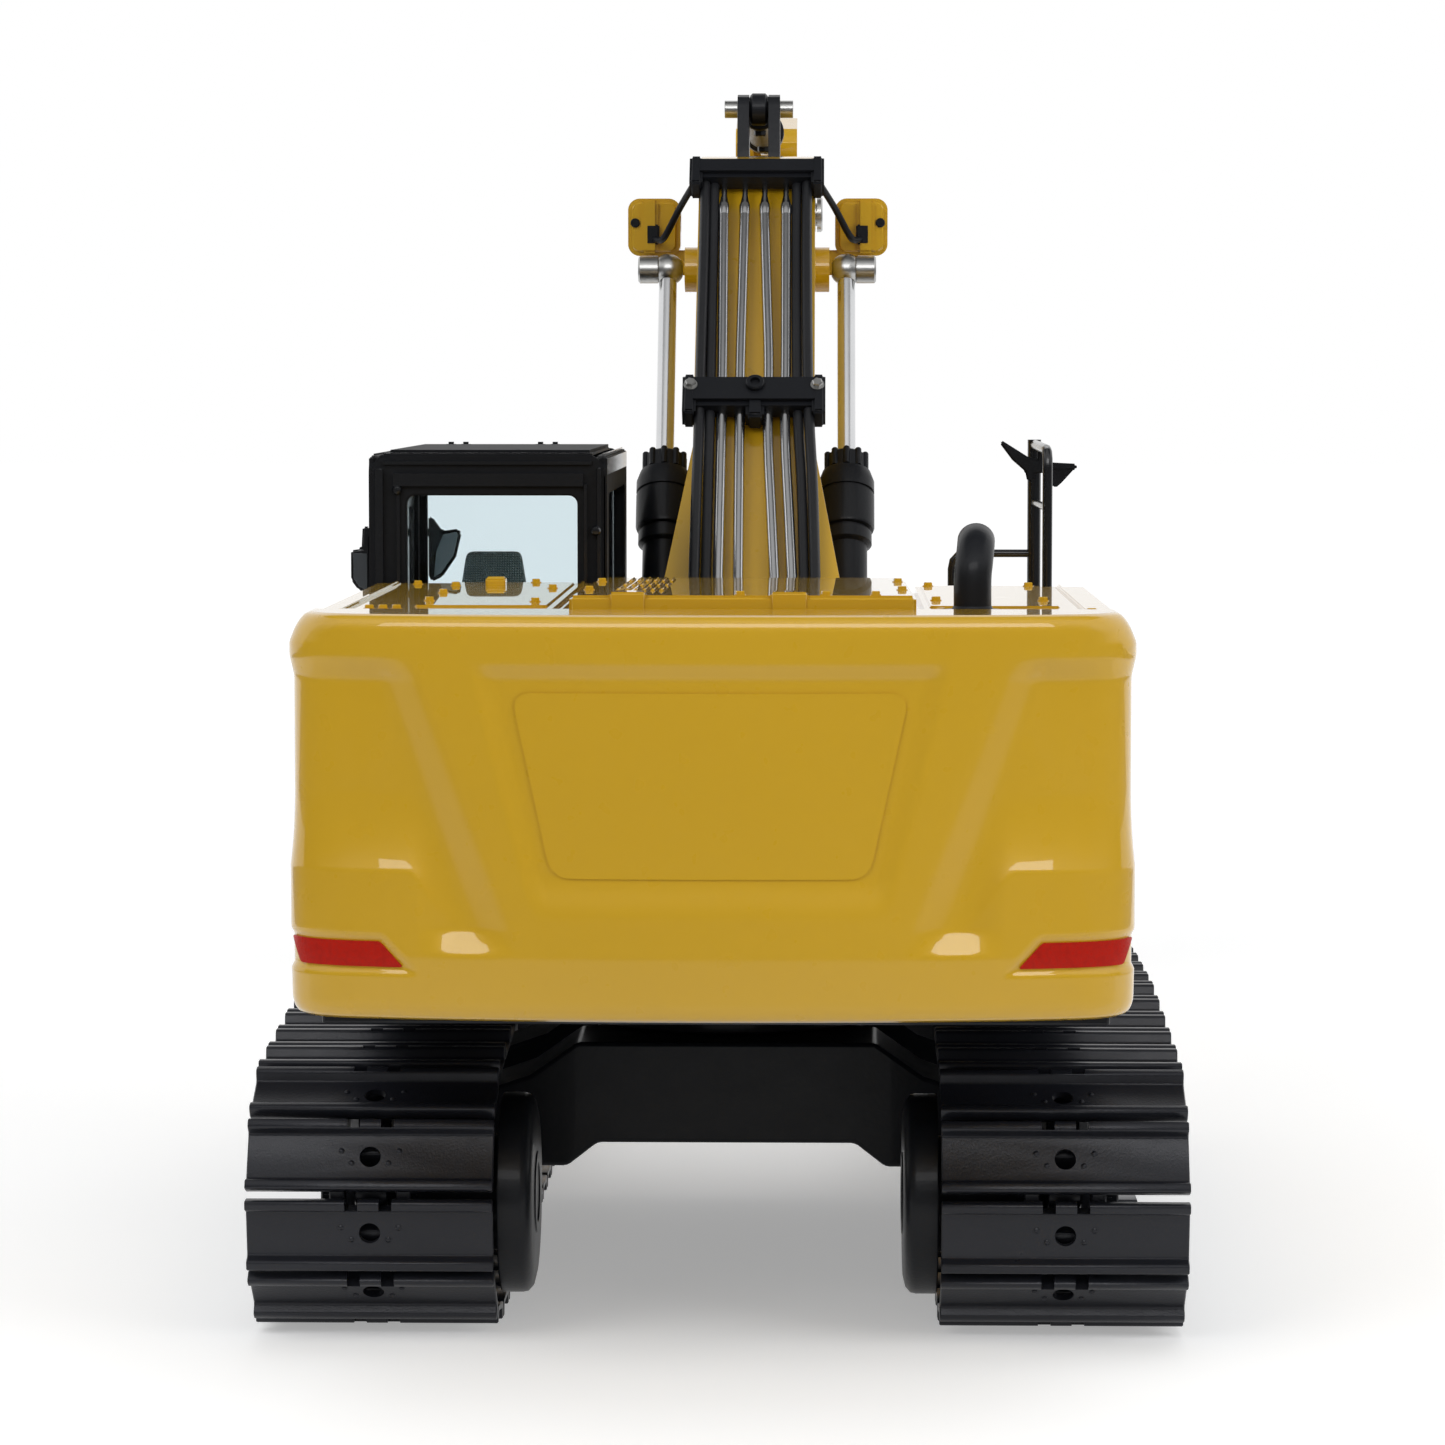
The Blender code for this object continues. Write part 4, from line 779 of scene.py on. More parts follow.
louvre = [(-1.6, 0), (1.6, 0), (1.2, 0.35), (0.2, 0.75), (-1.1, 0.55)]
louvre = extruded(louvre, -13.0, 13.0, "Y", 0.3)
for vert in louvre.verts:
    vert.co = (vert.co.y, vert.co.x, vert.co.z)
places = []
for side, centres in ((-1, (-167, -85)), (1, (-168, -87))):
    turn = Matrix(((0, 0, side), (side, 0, 0), (0, 1, 0)))
    for y in centres:
        for n in range(7):
            for shift in (-15.5, 15.5):
                places.append(((side * 106.45, y + shift, 138 + 5.4 * n), turn))
set_out("door_louvres", louvre, places, yellow_enamel, "upper", lift=UPPER)

up = facing((0, 0, 1))
places = []
for x, y in ((58.7, -70), (58.9, -153), (87.7, -70), (87.8, -155), (98, -204), (59, -205)):
    places.append(((x, y, HATCH if y > -180 else DECK), up))
for x, y in (
    (-91.2, -50), (-78.4, -70), (-78.4, -113), (-78.4, -157), (-56.3, -50), (-49.3, -85), (-49.4, -162)
):
    places.append(((x, y, HATCH if x > -80 else DECK), up))
places += [((x, -190, DECK), up) for x in (-91.4, -87.8, -84.2)]
set_out("deck_bolts", hex_bolt(2.5, 1.15), places, yellow_enamel, "upper", lift=UPPER)

latches = []
for side, y in ((-1, -132), (-1, -51), (1, -134), (1, -54), (1, 26)):
    grip = extruded(
        rounded_outline((y - 2.2, 132), (y + 2.2, 146), 2.1), *span(side, 105.9, 106.95), "X", 0.3
    )
    latches.append(grip)
piece("door_latches", joined(*latches), satin_black, "upper", lift=UPPER)
catch = [(-68, 0), (-68, 2.2), (-66.6, 3), (-64.6, 2.5), (-62.4, 3), (-61, 2.2), (-61, 0)]
catch = extruded([(y, DECK + z) for y, z in catch], -69.9, -64.1, "X", 0.5)
piece("deck_catch", catch, yellow_enamel, "upper", lift=UPPER)

# Engine hood. A pressed yellow lid over the engine bay, hinged at its rear edge on two straps. A patch of
# long louvres on its left lets the air out, and hexagon bolts hold its rim.

HOOD_BACK = -214.8
HOOD_FRONT = -58.0
HOOD_LOW = 186.4
HOOD_HIGH = 196.8
HOOD_SLOPE = 2.4 / (HOOD_FRONT - HOOD_BACK)


def hood_top(y):
    return HOOD_HIGH - (y - HOOD_BACK) * HOOD_SLOPE


lid = [
    (HOOD_BACK, HOOD_LOW), (HOOD_FRONT, HOOD_LOW), (HOOD_FRONT, hood_top(HOOD_FRONT)),
    (HOOD_BACK, HOOD_HIGH),
]
lid = extruded(lid, -37.3, 52.3, "X", 1.0, 3)
straps = []
for x in ((-27.0, -17.3), (14.6, 24.5)):
    straps.append(block(x, (-215.3, -206.0), (188.0, 197.7), 0.7, 3))
    straps.append(block((x[0] - 4.6, x[0] - 0.4), (-214.6, -211.8), (190.6, 194.6), 0.9, 3))
piece("hood_lid", joined(lid, *straps), yellow_enamel, "engine_hood", ["engine_hood"], UPPER)
louvre = block((-0.55, 0.55), (-14, 14), (-0.5, 0.75), 0.4, 3)
flat = Matrix.Rotation(math.atan(-HOOD_SLOPE), 3, "X")
places = [((-26.2 + 2.3 * n, y, hood_top(y)), flat) for y in (-90, -128, -166) for n in range(6)]
set_out("hood_louvres", louvre, places, yellow_enamel, "engine_hood", lift=UPPER)
places = []
for x, y in (
    (6.8, -211), (28.9, -211), (41.8, -211), (-34.4, -170), (-34.4, -100), (49.4, -170), (49.4, -100)
):
    places.append(((x, y, hood_top(y)), flat))
set_out("hood_bolts", hex_bolt(2.4, 1.1), places, yellow_enamel, "engine_hood", lift=UPPER)

# Drive under the hood. A shrink-sleeved battery, a gear pump on its motor, and a machined valve block with a
# row of spool caps lie on the base plate, held down by screws.


def machined(name, low, high):
    """Bare metal with the fine lines of a cutter along one way."""
    material, shader, start = new_finish(name, {"Metallic": 1.0})
    lines = mottle(start, 700.0, 2.0, (0.05, 1, 1))
    blend_colour(start, lines, low, high).into(shader, "Base Color")
    (lines * 0.16 + 0.22).into(shader, "Roughness")
    raise_skin(start, shader, lines, 0.00002)
    return material


aluminium = machined("machined aluminium", (0.50, 0.50, 0.52), (0.64, 0.64, 0.66))
blue_sleeve = coated(
    "blue shrink sleeve", (0.020, 0.055, 0.22), (0.030, 0.075, 0.29), 0.30, 0.1, 300, 0.00008,
    {"Coat Weight": 0.6},
)
dressed("battery", blue_sleeve, "upper", 1.0)
dressed("hydraulic_pump", satin_black, "upper", 0.6)
dressed("valve_block", aluminium, "upper", 0.5)

# Cab. A moulded black shell with window frames all round, raised posts at the rear and a panel on the roof.
# It is glazed with pale tinted panes, which are held in the frames from inside.

CAB_X = (-107.0, -36.0)
CAB_Y = (-37.0, 98.0)
BLACK_PLASTIC = (0.006, 0.0065, 0.008), (0.010, 0.011, 0.013)
polish = {"Coat Weight": 0.35, "Coat Roughness": 0.08, "Specular IOR Level": 0.35}
gloss_black = coated("gloss black plastic", *BLACK_PLASTIC, 0.18, 0.06, 500, 0.00003, polish)
grain = {"Specular IOR Level": 0.1}
grained_black = coated("grained black plastic", *BLACK_PLASTIC, 0.55, 0.1, 700, 0.0001, grain)


def frame_plate(outer, inner, low, high, axis):
    """A flat frame between two outlines of as many points each, pushed along an axis."""
    at = PUSHED[axis]
    shape = bmesh.new()
    rings = []
    for outline in (outer, inner):
        rings.append([[shape.verts.new(at(a, b, t)) for a, b in outline] for t in (low, high)])
    (outer_low, outer_high), (inner_low, inner_high) = rings
    round_about = (outer_low, outer_high, inner_high, inner_low)
    for before, after in zip(round_about, (*round_about[1:], outer_low)):
        bridge(shape, before, after)
    return eased(shape, 0.5)


cab = []
walls = (
    ((-106.6, 91), (-36.4, 230), 6, (-95.6, 150), (-44.8, 217.8), 2.6, (-37.0, -33.6), "Y"),
    ((-106.6, 91), (-36.4, 230), 6, (-101.2, 118), (-43.0, 220), 2.6, (94.6, 98.0), "Y"),
    ((-36.8, 91), (97.8, 229.6), 6, (-24.0, 140), (84.0, 218), 4, (-39.4, -36.0), "X"),
    ((-36.8, 91), (97.8, 229.6), 6, (-28.0, 98), (88.0, 219), 2, (-107.0, -103.6), "X"),
)
for outer_a, outer_b, outer_radius, inner_a, inner_b, inner_radius, (low, high), axis in walls:
    outer = rounded_outline(outer_a, outer_b, outer_radius)
    inner = rounded_outline(inner_a, inner_b, inner_radius)
    cab.append(frame_plate(outer, inner, low, high, axis))
cab.append(block(CAB_X, CAB_Y, (90.5, 95.0), 1.0))
cab.append(block((-103.0, -40.0), (-28.0, 92.0), (228.0, 231.2), 1.6, 3))
for x in (-90.7, -61.5):
    cab += [block((x + at - 1.5, x + at + 1.5), (91.6, 95.4), (229.6, 231.9), 0.7, 2) for at in (-2.4, 2.4)]
piece("cab_shell_panels", joined(*cab), grained_black, "upper", ["cab_shell"], UPPER)

posts = [
    block((-106.9, -100.6), (-38.6, -34.4), (92, 227.6), 2.0, 5),
    block((-100.0, -96.2), (-38.0, -34.4), (100, 222.6), 1.4, 4),
    block((-44.2, -40.4), (-38.0, -34.4), (100, 222.6), 1.4, 4),
    block((-40.6, -36.1), (-38.6, -34.4), (92, 227.6), 1.8, 5),
    block((-101.5, -41.0), (-38.4, -34.4), (218.6, 226.4), 2.0, 5),
    block((-105.0, -38.0), (-38.0, -30.0), (224.6, 230.4), 2.4, 5),
]
for x in (-107.0, -38.8):
    posts.append(block((x, x + 2.9), (-36.4, 97.4), (222.6, 230.2), 1.4, 4))
knob = [(-1, 0), (-1, 1.6), (0.2, 1.5), (0.8, 1.0), (1.0, 0)]
for place in ((-98.4, -38.2, 219.4), (-39.2, -38.8, 207.4)):
    posts.append(turned(knob, place, (0, -1, 0), 20))
piece("cab_frame", joined(*posts), gloss_black, "upper", lift=UPPER)


def pane_tint():
    settings = {"Transmission Weight": 1.0, "IOR": 1.12, "Roughness": 0.0, "Specular IOR Level": 0.5}
    material, shader, start = new_finish("pale tinted glass", settings)
    tint = blend_colour(start, mottle(start, 8.0, 0.0), (0.78, 0.845, 0.865), (0.80, 0.865, 0.885))
    tint.into(shader, "Base Color")
    return material


tinted_glass = pane_tint()
panes = [
    extruded(rounded_outline((-99, 146), (-42, 220), 6), -33.4, -32.4, "Y", 0.2, 1),
    extruded(rounded_outline((-102, 114), (-41, 223), 6), 93.2, 94.4, "Y", 0.2, 1),
    extruded(rounded_outline((-28, 136), (88, 221), 6), -40.8, -39.8, "X", 0.2, 1),
]
piece("cab_panes", joined(*panes), tinted_glass, "upper", ["cab_glazing"], UPPER)

door = rounded_outline((-27.4, 98.6), (87.4, 218.4), 3)
door = frame_plate(door, rounded_outline((-17, 142), (82, 211), 3), -107.0, -104.5, "X")
sill = extruded(rounded_outline((-20, 106), (80, 134), 4), -107.4, -106.4, "X", 0.3)
grip = extruded(rounded_outline((68, 136), (82, 139.5), 1.6), -107.8, -106.4, "X", 0.4)
hinges = [turned([(0, 0), (0, 1.1), (9, 1.1), (9, 0)], (-105.9, -27.8, z), (0, 0, 1), 16) for z in (112, 196)]
piece(
    "door_frame", joined(door, sill, grip, *hinges), gloss_black, "cab_door", ["cab_door"],
    UPPER,
)
pane = extruded(rounded_outline((-17.6, 141.4), (82.6, 211.6), 3), -106.3, -105.1, "X", 0.2, 1)
piece("door_pane", pane, tinted_glass, "cab_door", ["door_window"], UPPER)

# Seat. Foam cushions in a grey-green woven cover, with sewn channels in the cushion and the back and a
# separate headrest, on a moulded black pedestal that is screwed to the cab floor.


def woven_cover():
    settings = {"Sheen Weight": 0.25, "Specular IOR Level": 0.2}
    material, shader, start = new_finish("woven seat cover", settings)
    place = start.add("ShaderNodeTexCoord", {}, {}, "Object")
    waves = []
    for direction in ("X", "Z"):
        bands = {"wave_type": "BANDS", "bands_direction": direction}
        waves.append(start.add("ShaderNodeTexWave", bands, {"Vector": place, "Scale": 420.0}, 1))
    weave = waves[0] * waves[1]
    blend_colour(start, weave, (0.100, 0.138, 0.140), (0.195, 0.240, 0.238)).into(shader, "Base Color")
    (weave * 0.1 + 0.78).into(shader, "Roughness")
    raise_skin(start, shader, weave, 0.0002)
    return material


def pad(x, y, z, channels, across, full=6):
    """A stuffed cushion: crowned faces, full corners, and sewn channels that dent the two broad faces."""
    shape = bmesh.new()
    bmesh.ops.create_cube(shape, size=2.0)
    bmesh.ops.subdivide_edges(shape, edges=shape.edges[:], cuts=23, use_grid_fill=True)
    middle, size = middle_and_size(x, y, z)
    size /= 2
    thin = min(range(3), key=lambda n: size[n])
    for vert in shape.verts:
        spot = vert.co.copy()
        spot /= sum(abs(value) ** full for value in spot) ** (1 / full)
        crown = 1 - 0.22 * max(abs(spot[n]) for n in range(3) if n != thin) ** 3
        dent = sum(math.exp(-(((spot[across] - line) * size[across] / 0.9) ** 2)) for line in channels)
        spot[thin] *= crown - 0.10 * dent
        vert.co = middle + spot * size
    return shape


SEAT_X = -73.0
seat_cover = woven_cover()
headrest = pad((-84.2, -61.8), (4.6, 12.0), (181.0, 199.4), (), 2, 12)
# the headrest narrows towards its top
for vert in headrest.verts:
    vert.co.x = SEAT_X + (vert.co.x - SEAT_X) * (1 - 0.26 * (vert.co.z - 181.0) / 18.4)
cushions = joined(
    pad((-88.0, -58.0), (9.0, 40.0), (117.8, 131.8), (-0.34, 0.34), 0),
    pad((-87.0, -59.0), (4.0, 13.5), (126.5, 180.5), (-0.55, 0.0, 0.55), 2),
    headrest,
)
seat = piece("seat_cushions", cushions, seat_cover, "upper", ["seat"], UPPER, even=False)
pedestal = joined(
    block((-82, -64), (12, 36), (95.0, 119.5), 2.0, 3),
    block((-76.5, -75.0), (7.5, 9.2), (178, 184), 0.5),
    block((-71.0, -69.5), (7.5, 9.2), (178, 184), 0.5),
)
piece("seat_pedestal", pedestal, gloss_black, "upper", lift=UPPER)

# Exhaust. A black steel pipe bent to the front, open at its end, on a flange that is screwed to the
# right deck.


def smooth_route(points, steps=6):
    """Points on a smooth curve through a route's own points."""
    route = [Vector(p) for p in points]
    route = [2 * route[0] - route[1], *route, 2 * route[-1] - route[-2]]
    found = []
    for before, start, end, after in zip(route, route[1:], route[2:], route[3:]):
        for n in range(steps):
            t = n / steps
            bend = 2 * start + (end - before) * t
            bend += (2 * before - 5 * start + 4 * end - after) * t**2
            bend += (3 * start - before - 3 * end + after) * t**3
            found.append(bend / 2)
    return [*found, route[-2]]


def pipe(points, radius, sides=18, bore=None):
    """A round bar along a route, or a pipe that is open at its far end where a bore is given."""
    route = [Vector(p) for p in points]
    shape = bmesh.new()
    stations = []
    side = None
    for n, place in enumerate(route):
        ahead = (route[min(n + 1, len(route) - 1)] - route[max(n - 1, 0)]).normalized()
        side = ahead.orthogonal() if side is None else side - ahead * side.dot(ahead)
        side.normalize()
        stations.append((place, side.copy(), ahead.cross(side), radius))
    if bore:
        stations += [
            (place, side, other, bore) for place, side, other, size in stations[: len(stations) // 2 : -1]
        ]
    rows = [ring(shape, *station, sides) for station in stations]
    for before, after in zip(rows, rows[1:]):
        bridge(shape, before, after)
    shape.faces.new(rows[0][::-1])
    shape.faces.new(rows[-1])
    return shape


bend = [(0, 0, 0), (0, 0, 8.5), (0.4, 1.2, 12.6), (0.9, 4.6, 16.4), (1.2, 9.5, 18.0)]
bend = [Vector((67, -206.5, DECK + 0.3)) + Vector(p) for p in bend]
exhaust = pipe(smooth_route(bend), 4.9, 36, 4.1)
flange = [(0, 0), (0, 7.4), (0.6, 7.4), (0.9, 7.1), (0.9, 5.4), (1.8, 5.0), (1.8, 0)]
flange = turned(flange, (67, -206.5, DECK), (0, 0, 1), 36)
piece("exhaust_bend", joined(exhaust, flange), satin_black, "upper", ["exhaust_pipe"], UPPER)

# Handrail and mirrors. Black posts stand on the right housing under a bent top rail, which carries a
# mirror bracket with a wing on each side. The left mirrors hang on both sides of the cab's front
# corner from one arm.

near, far, foot = 40.0, 84.0, 181.6
near_rail = [
    (98.7, near, foot), (98.7, near, 224), (98.7, near + 0.3, 227.2), (98.6, near + 1.6, 229.4),
    (98.5, near + 4.5, 230.2), (97.6, 62, 230.7), (96.7, far - 1, 231.2),
]
cross = [
    (96.6, far, 196), (75, far, 196), (72.2, far, 195.4), (70.5, far, 193.6), (70, far, 191),
    (70, far, foot),
]
rails = [
    pipe([(96.6, far, foot), (96.6, far, 231.6), (96.6, far, 232.8)], 2.2, 20),
    pipe(near_rail, 1.6, 18),
    pipe([(98.7, near, 212.0), (96.6, far, 212.6)], 1.2, 14),
    pipe(cross, 1.3, 14),
]
for x, y, wide in ((96.6, far, 4.2), (98.7, near, 3.2), (70.0, far, 3.0)):
    rails.append(
        turned([(0, 0), (0, wide), (0.8, wide), (1.1, wide - 0.4), (1.1, 0)], (x, y, 181.0), (0, 0, 1), 24)
    )
piece("handrail_tube", joined(*rails), gloss_black, "upper", ["right_handrail"], UPPER)
wing = [
    (85, 233.0), (84.6, 231.9), (88.6, 226.6), (92.8, 222.9), (93.4, 219.8), (95.2, 219.6), (95.6, 222.2),
    (99.6, 222.6), (101.2, 223.2), (109.0, 223.4), (109.2, 224.4), (109.0, 225.4), (101.2, 225.8),
    (93.6, 227.6),
]
brace = [(100.2, 219.0), (102.6, 217.8), (104.4, 219.4), (108.6, 224.0), (100.2, 224.4)]
blades = [
    extruded(wing, 62.3, 65.3, "Y", 0.6, 3),
    extruded(brace, 62.8, 64.8, "Y", 0.3),
    block((96.6, 98.8), (62.4, 65.2), (224.5, 230.2), 0.6),
    block((99.4, 100.8), (62.6, 65.0), (217.8, 225.0), 0.4),
]
piece("right_mirror_blade", joined(*blades), grained_black, "upper", ["right_mirror"], UPPER)
blade = [
    (-126.9, 196.2), (-126.9, 186.4), (-124.6, 183.2), (-120.6, 181.6), (-120.6, 204), (-123, 204),
    (-123.4, 196.6),
]
inner = [
    (-101.2, 207.4), (-99.9, 207.0), (-96.7, 202.6), (-91.4, 203.3), (-90.4, 201.7), (-92.2, 194.1),
    (-96.7, 187.5), (-100.2, 185.9), (-101.2, 188.0),
]
arm = block((-122, -98), (98.7, 101), (200.8, 203.4), 0.6)
left_mirror = joined(
    extruded(blade, 99.8, 103.2, "Y", 0.7, 3), extruded(inner, 98.8, 102.4, "Y", 0.6, 3), arm
)
piece("left_mirror_blade", left_mirror, gloss_black, "upper", ["left_mirror"], UPPER)
# The mirror glasses are not silvered. Each is a flat grey whose colour is painted reflection: dark on the
# outer left mirror and pale on the inner one.
mirror_constants = {"Metallic": 0.15}
mirror_pale_painted_reflection = coated(
    "mirror glass pale painted reflection", (0.60, 0.63, 0.65), (0.68, 0.71, 0.73), 0.2, 0.04, 90, 0.000001, mirror_constants
)
mirror_dark_painted_reflection = coated(
    "mirror glass dark painted reflection", (0.060, 0.066, 0.072), (0.085, 0.092, 0.10), 0.2, 0.04, 90, 0.000001, mirror_constants
)
glass = [(-126.0, 195.2), (-126.0, 186.9), (-124.1, 184.1), (-121.5, 183.0), (-121.5, 195.2)]
glass = extruded(glass, 99.55, 100.2, "Y", 0.15, 1)
piece("left_mirror_glass", glass, mirror_dark_painted_reflection, "upper", lift=UPPER)
inner_glass = [
    (-96.2, 201.6), (-92.0, 202.3), (-91.4, 201.4), (-93.0, 194.6), (-97.2, 188.7), (-99.4, 187.6),
    (-98.6, 196.0),
]
inner_glass = extruded(inner_glass, 98.55, 99.2, "Y", 0.15, 1)
piece("inner_mirror_glass", inner_glass, mirror_pale_painted_reflection, "upper", lift=UPPER)

# Boom. A box of folded and welded steel plate in the yellow enamel, wide at its foot, with a cross boss for
# the boom cylinders and a black bracket on top whose steel pin holds the base of the stick cylinder.

STICK_BASE_PIN = (186.0, 345.0)
beam = dressed("boom_beam", yellow_enamel, "boom", 0.9)
for extra in (satin_black, bright_steel):
    beam.data.materials.append(extra)
for face in beam.data.polygons:
    x, y, z = face.center * 1000 - Vector((BOOM_X, SWING_Y, UPPER))
    if abs(y - STICK_BASE_PIN[0]) < 16 and z > 329.3:
        face.material_index = 2 if abs(x) > 7.4 else 1

# Boom pipes. Four chromed steel pipes run up the boom's back under two black clamps, with a pair of
# rubber hoses on each side of them. A coned fitting closes each pipe under the upper clamp, and
# hexagon bolts hold the lower one.

BOOM_SLOPE = 49.5
PIPE_RADIUS = 1.75
PIPE_LIFT = 4.0
PIPE_END = 209
HOSE_RADIUS = 1.72
LOWER_CLAMP_AT = 127.5
UPPER_CLAMP_AT = 226.0
PIPE_TOP = (-10.8, -3.9, 2.7, 9.8)
PIPE_MID = (-10.3, -4.5, 4.6, 10.1)
PIPE_FOOT = (-10.5, -4.2, 7.4, 12.9)
HOSE_ROUTES = {
    "left_outer": [
        (52, -18.1, 4.6), (90, -17.8, 5.2), (118, -17.5, 5.4), (146, -17.4, 5.2), (190, -17.2, 4.6),
        (228.5, -17.2, 4.4),
    ],
    "left_inner": [
        (52, -14.4, 3.4), (90, -14.3, 3.6), (118, -14.2, 3.8), (146, -14.2, 3.8), (190, -14.2, 3.4),
        (228.5, -14.2, 3.4),
    ],
    "right_inner": [
        (52, 16.5, 3.4), (90, 15.6, 3.6), (118, 14.3, 3.8), (146, 13.8, 3.8), (190, 13.4, 3.4),
        (228.5, 13.4, 3.4),
    ],
    "right_outer": [
        (52, 19.9, 4.6), (90, 19.0, 5.2), (118, 17.8, 5.4), (146, 17.2, 5.2), (190, 16.8, 4.6),
        (228.5, 16.8, 4.4),
    ],
}


def chrome_plate():
    material, shader, start = new_finish("chrome plate", {"Metallic": 1.0})
    shine = blend_colour(start, mottle(start, 60.0), (0.62, 0.63, 0.64), (0.74, 0.74, 0.75))
    shine.into(shader, "Base Color")
    (mottle(start, 300.0) * 0.06 + 0.13).into(shader, "Roughness")
    return material


chrome = chrome_plate()
hose_rubber = coated(
    "hose rubber", (0.008, 0.008, 0.009), (0.014, 0.015, 0.018), 0.38, 0.12, 1100, 0.00008,
    {"Specular IOR Level": 0.42},
)


def back_of_boom(distance, lift):
    """A point (y, z) over the straight back of the boom's lower half."""
    slope = math.radians(BOOM_SLOPE)
    y, z = polar(BOOM_FOOT, 13.0, BOOM_SLOPE + 90)
    y += distance * math.cos(slope) - lift * math.sin(slope)
    z += distance * math.sin(slope) + lift * math.cos(slope)
    return y, z


UP_THE_BOOM = Vector((0, *polar((0, 0), 1, BOOM_SLOPE)))
OFF_THE_BOOM = Vector((0, -UP_THE_BOOM.z, UP_THE_BOOM.y))
for number, (top_x, mid_x, foot_x) in enumerate(zip(PIPE_TOP, PIPE_MID, PIPE_FOOT)):
    stops = [
        (46, foot_x), (79, (foot_x + mid_x) / 2), (112, mid_x), (143, mid_x), (176, (mid_x + top_x) / 2),
        (PIPE_END, top_x),
    ]
    route = smooth_route([(BOOM_X + x, *back_of_boom(distance, PIPE_LIFT)) for distance, x in stops], 6)
    run = pipe(route, PIPE_RADIUS, 20)
    cone = [
        (-2, 0), (-2, PIPE_RADIUS), (0, 1.95), (2.4, 1.95), (3.0, 1.7), (7.0, 0.95), (19.0, 0.95), (19.0, 0)
    ]
    cone = turned(cone, (BOOM_X + top_x, *back_of_boom(PIPE_END, PIPE_LIFT)), UP_THE_BOOM, 20)
    piece(
        f"boom_pipe_run_{number + 1}", joined(run, cone), chrome, "boom",
        [f"boom_pipe_{number + 1}"], UPPER,
    )

for label, places in HOSE_ROUTES.items():
    route = smooth_route([(BOOM_X + x, *back_of_boom(distance, lift)) for distance, x, lift in places], 8)
    side, layer = label.split("_")
    nodes = [f"{side}_hose"] if layer == "outer" else ()
    hose = piece(
        f"{side}_hose_{layer}", pipe(route, HOSE_RADIUS, 18), hose_rubber, "boom", nodes,
        UPPER,
    )
    path = [(p + Vector((0, SWING_Y, UPPER))) * MM for p in route]
    length = sum((b - a).length for a, b in zip(path, path[1:]))
    path = [tuple(p) for p in path]


def on_back(low, high, under, over):
    """The side view of a block on the boom's back, between two distances up it and two lifts off it."""
    return [back_of_boom(*place) for place in ((low, under), (high, under), (high, over), (low, over))]


for name, at, half, deep in (("lower", LOWER_CLAMP_AT, 23.0, 6.0), ("upper", UPPER_CLAMP_AT, 22.5, 5.0)):
    over = at + (deep if name == "lower" else 3.4)
    bars = [extruded(on_back(at - deep, over, 0.4, 9.4), BOOM_X - half, BOOM_X + half, "X", 1.6, 4)]
    for side in (-1, 1):
        x = [BOOM_X + place for place in span(side, half - 4.4, half)]
        bars.append(extruded(on_back(at - deep - 4.0, over + 0.3, 0.8, 9.6), *x, "X", 1.0, 3))
    if name == "lower":
        bars.append(
            extruded(on_back(at - deep - 4.6, at + deep, 0.8, 8.6), BOOM_X - 2.6, BOOM_X + 3.4, "X", 1.2, 3)
        )
        screw = [(-1, 0), (-1, 3.0), (1.6, 3.0), (2.0, 2.6), (2.0, 1.6), (0.8, 1.5), (0.8, 0)]
        bars.append(turned(screw, (BOOM_X + 0.4, *back_of_boom(at + 1.6, 9.0)), OFF_THE_BOOM, 24))
        places = [((BOOM_X + x, *back_of_boom(at + 1.4, 9.4)), facing(OFF_THE_BOOM)) for x in (-20.4, 20.4)]
        set_out("clamp_bolts", hex_bolt(3.6, 1.8), places, bright_steel, "boom", lift=UPPER)
    piece(
        f"{name}_clamp_bar", joined(*bars), satin_black, "boom", [f"{name}_pipe_clamp"],
        UPPER,
    )

# Work lights. Two yellow barrel-shaped housings stand off the boom on short arms. Each has a raised rib and a
# black socket at the back, a lead from the upper clamp, and a clear ribbed lens at the front.


def lens_clear():
    settings = {"Roughness": 0.06, "Coat Weight": 1.0, "Specular IOR Level": 0.6}
    material, shader, start = new_finish("clear lamp lens", settings)
    place = start.add("ShaderNodeTexCoord", {}, {}, "Object")
    bands = {"wave_type": "BANDS", "bands_direction": "X"}
    ribs = start.add("ShaderNodeTexWave", bands, {"Vector": place, "Scale": 180.0}, 1)
    blend_colour(start, ribs, (0.62, 0.64, 0.66), (0.80, 0.81, 0.82)).into(shader, "Base Color")
    raise_skin(start, shader, ribs, 0.0003)
    return material


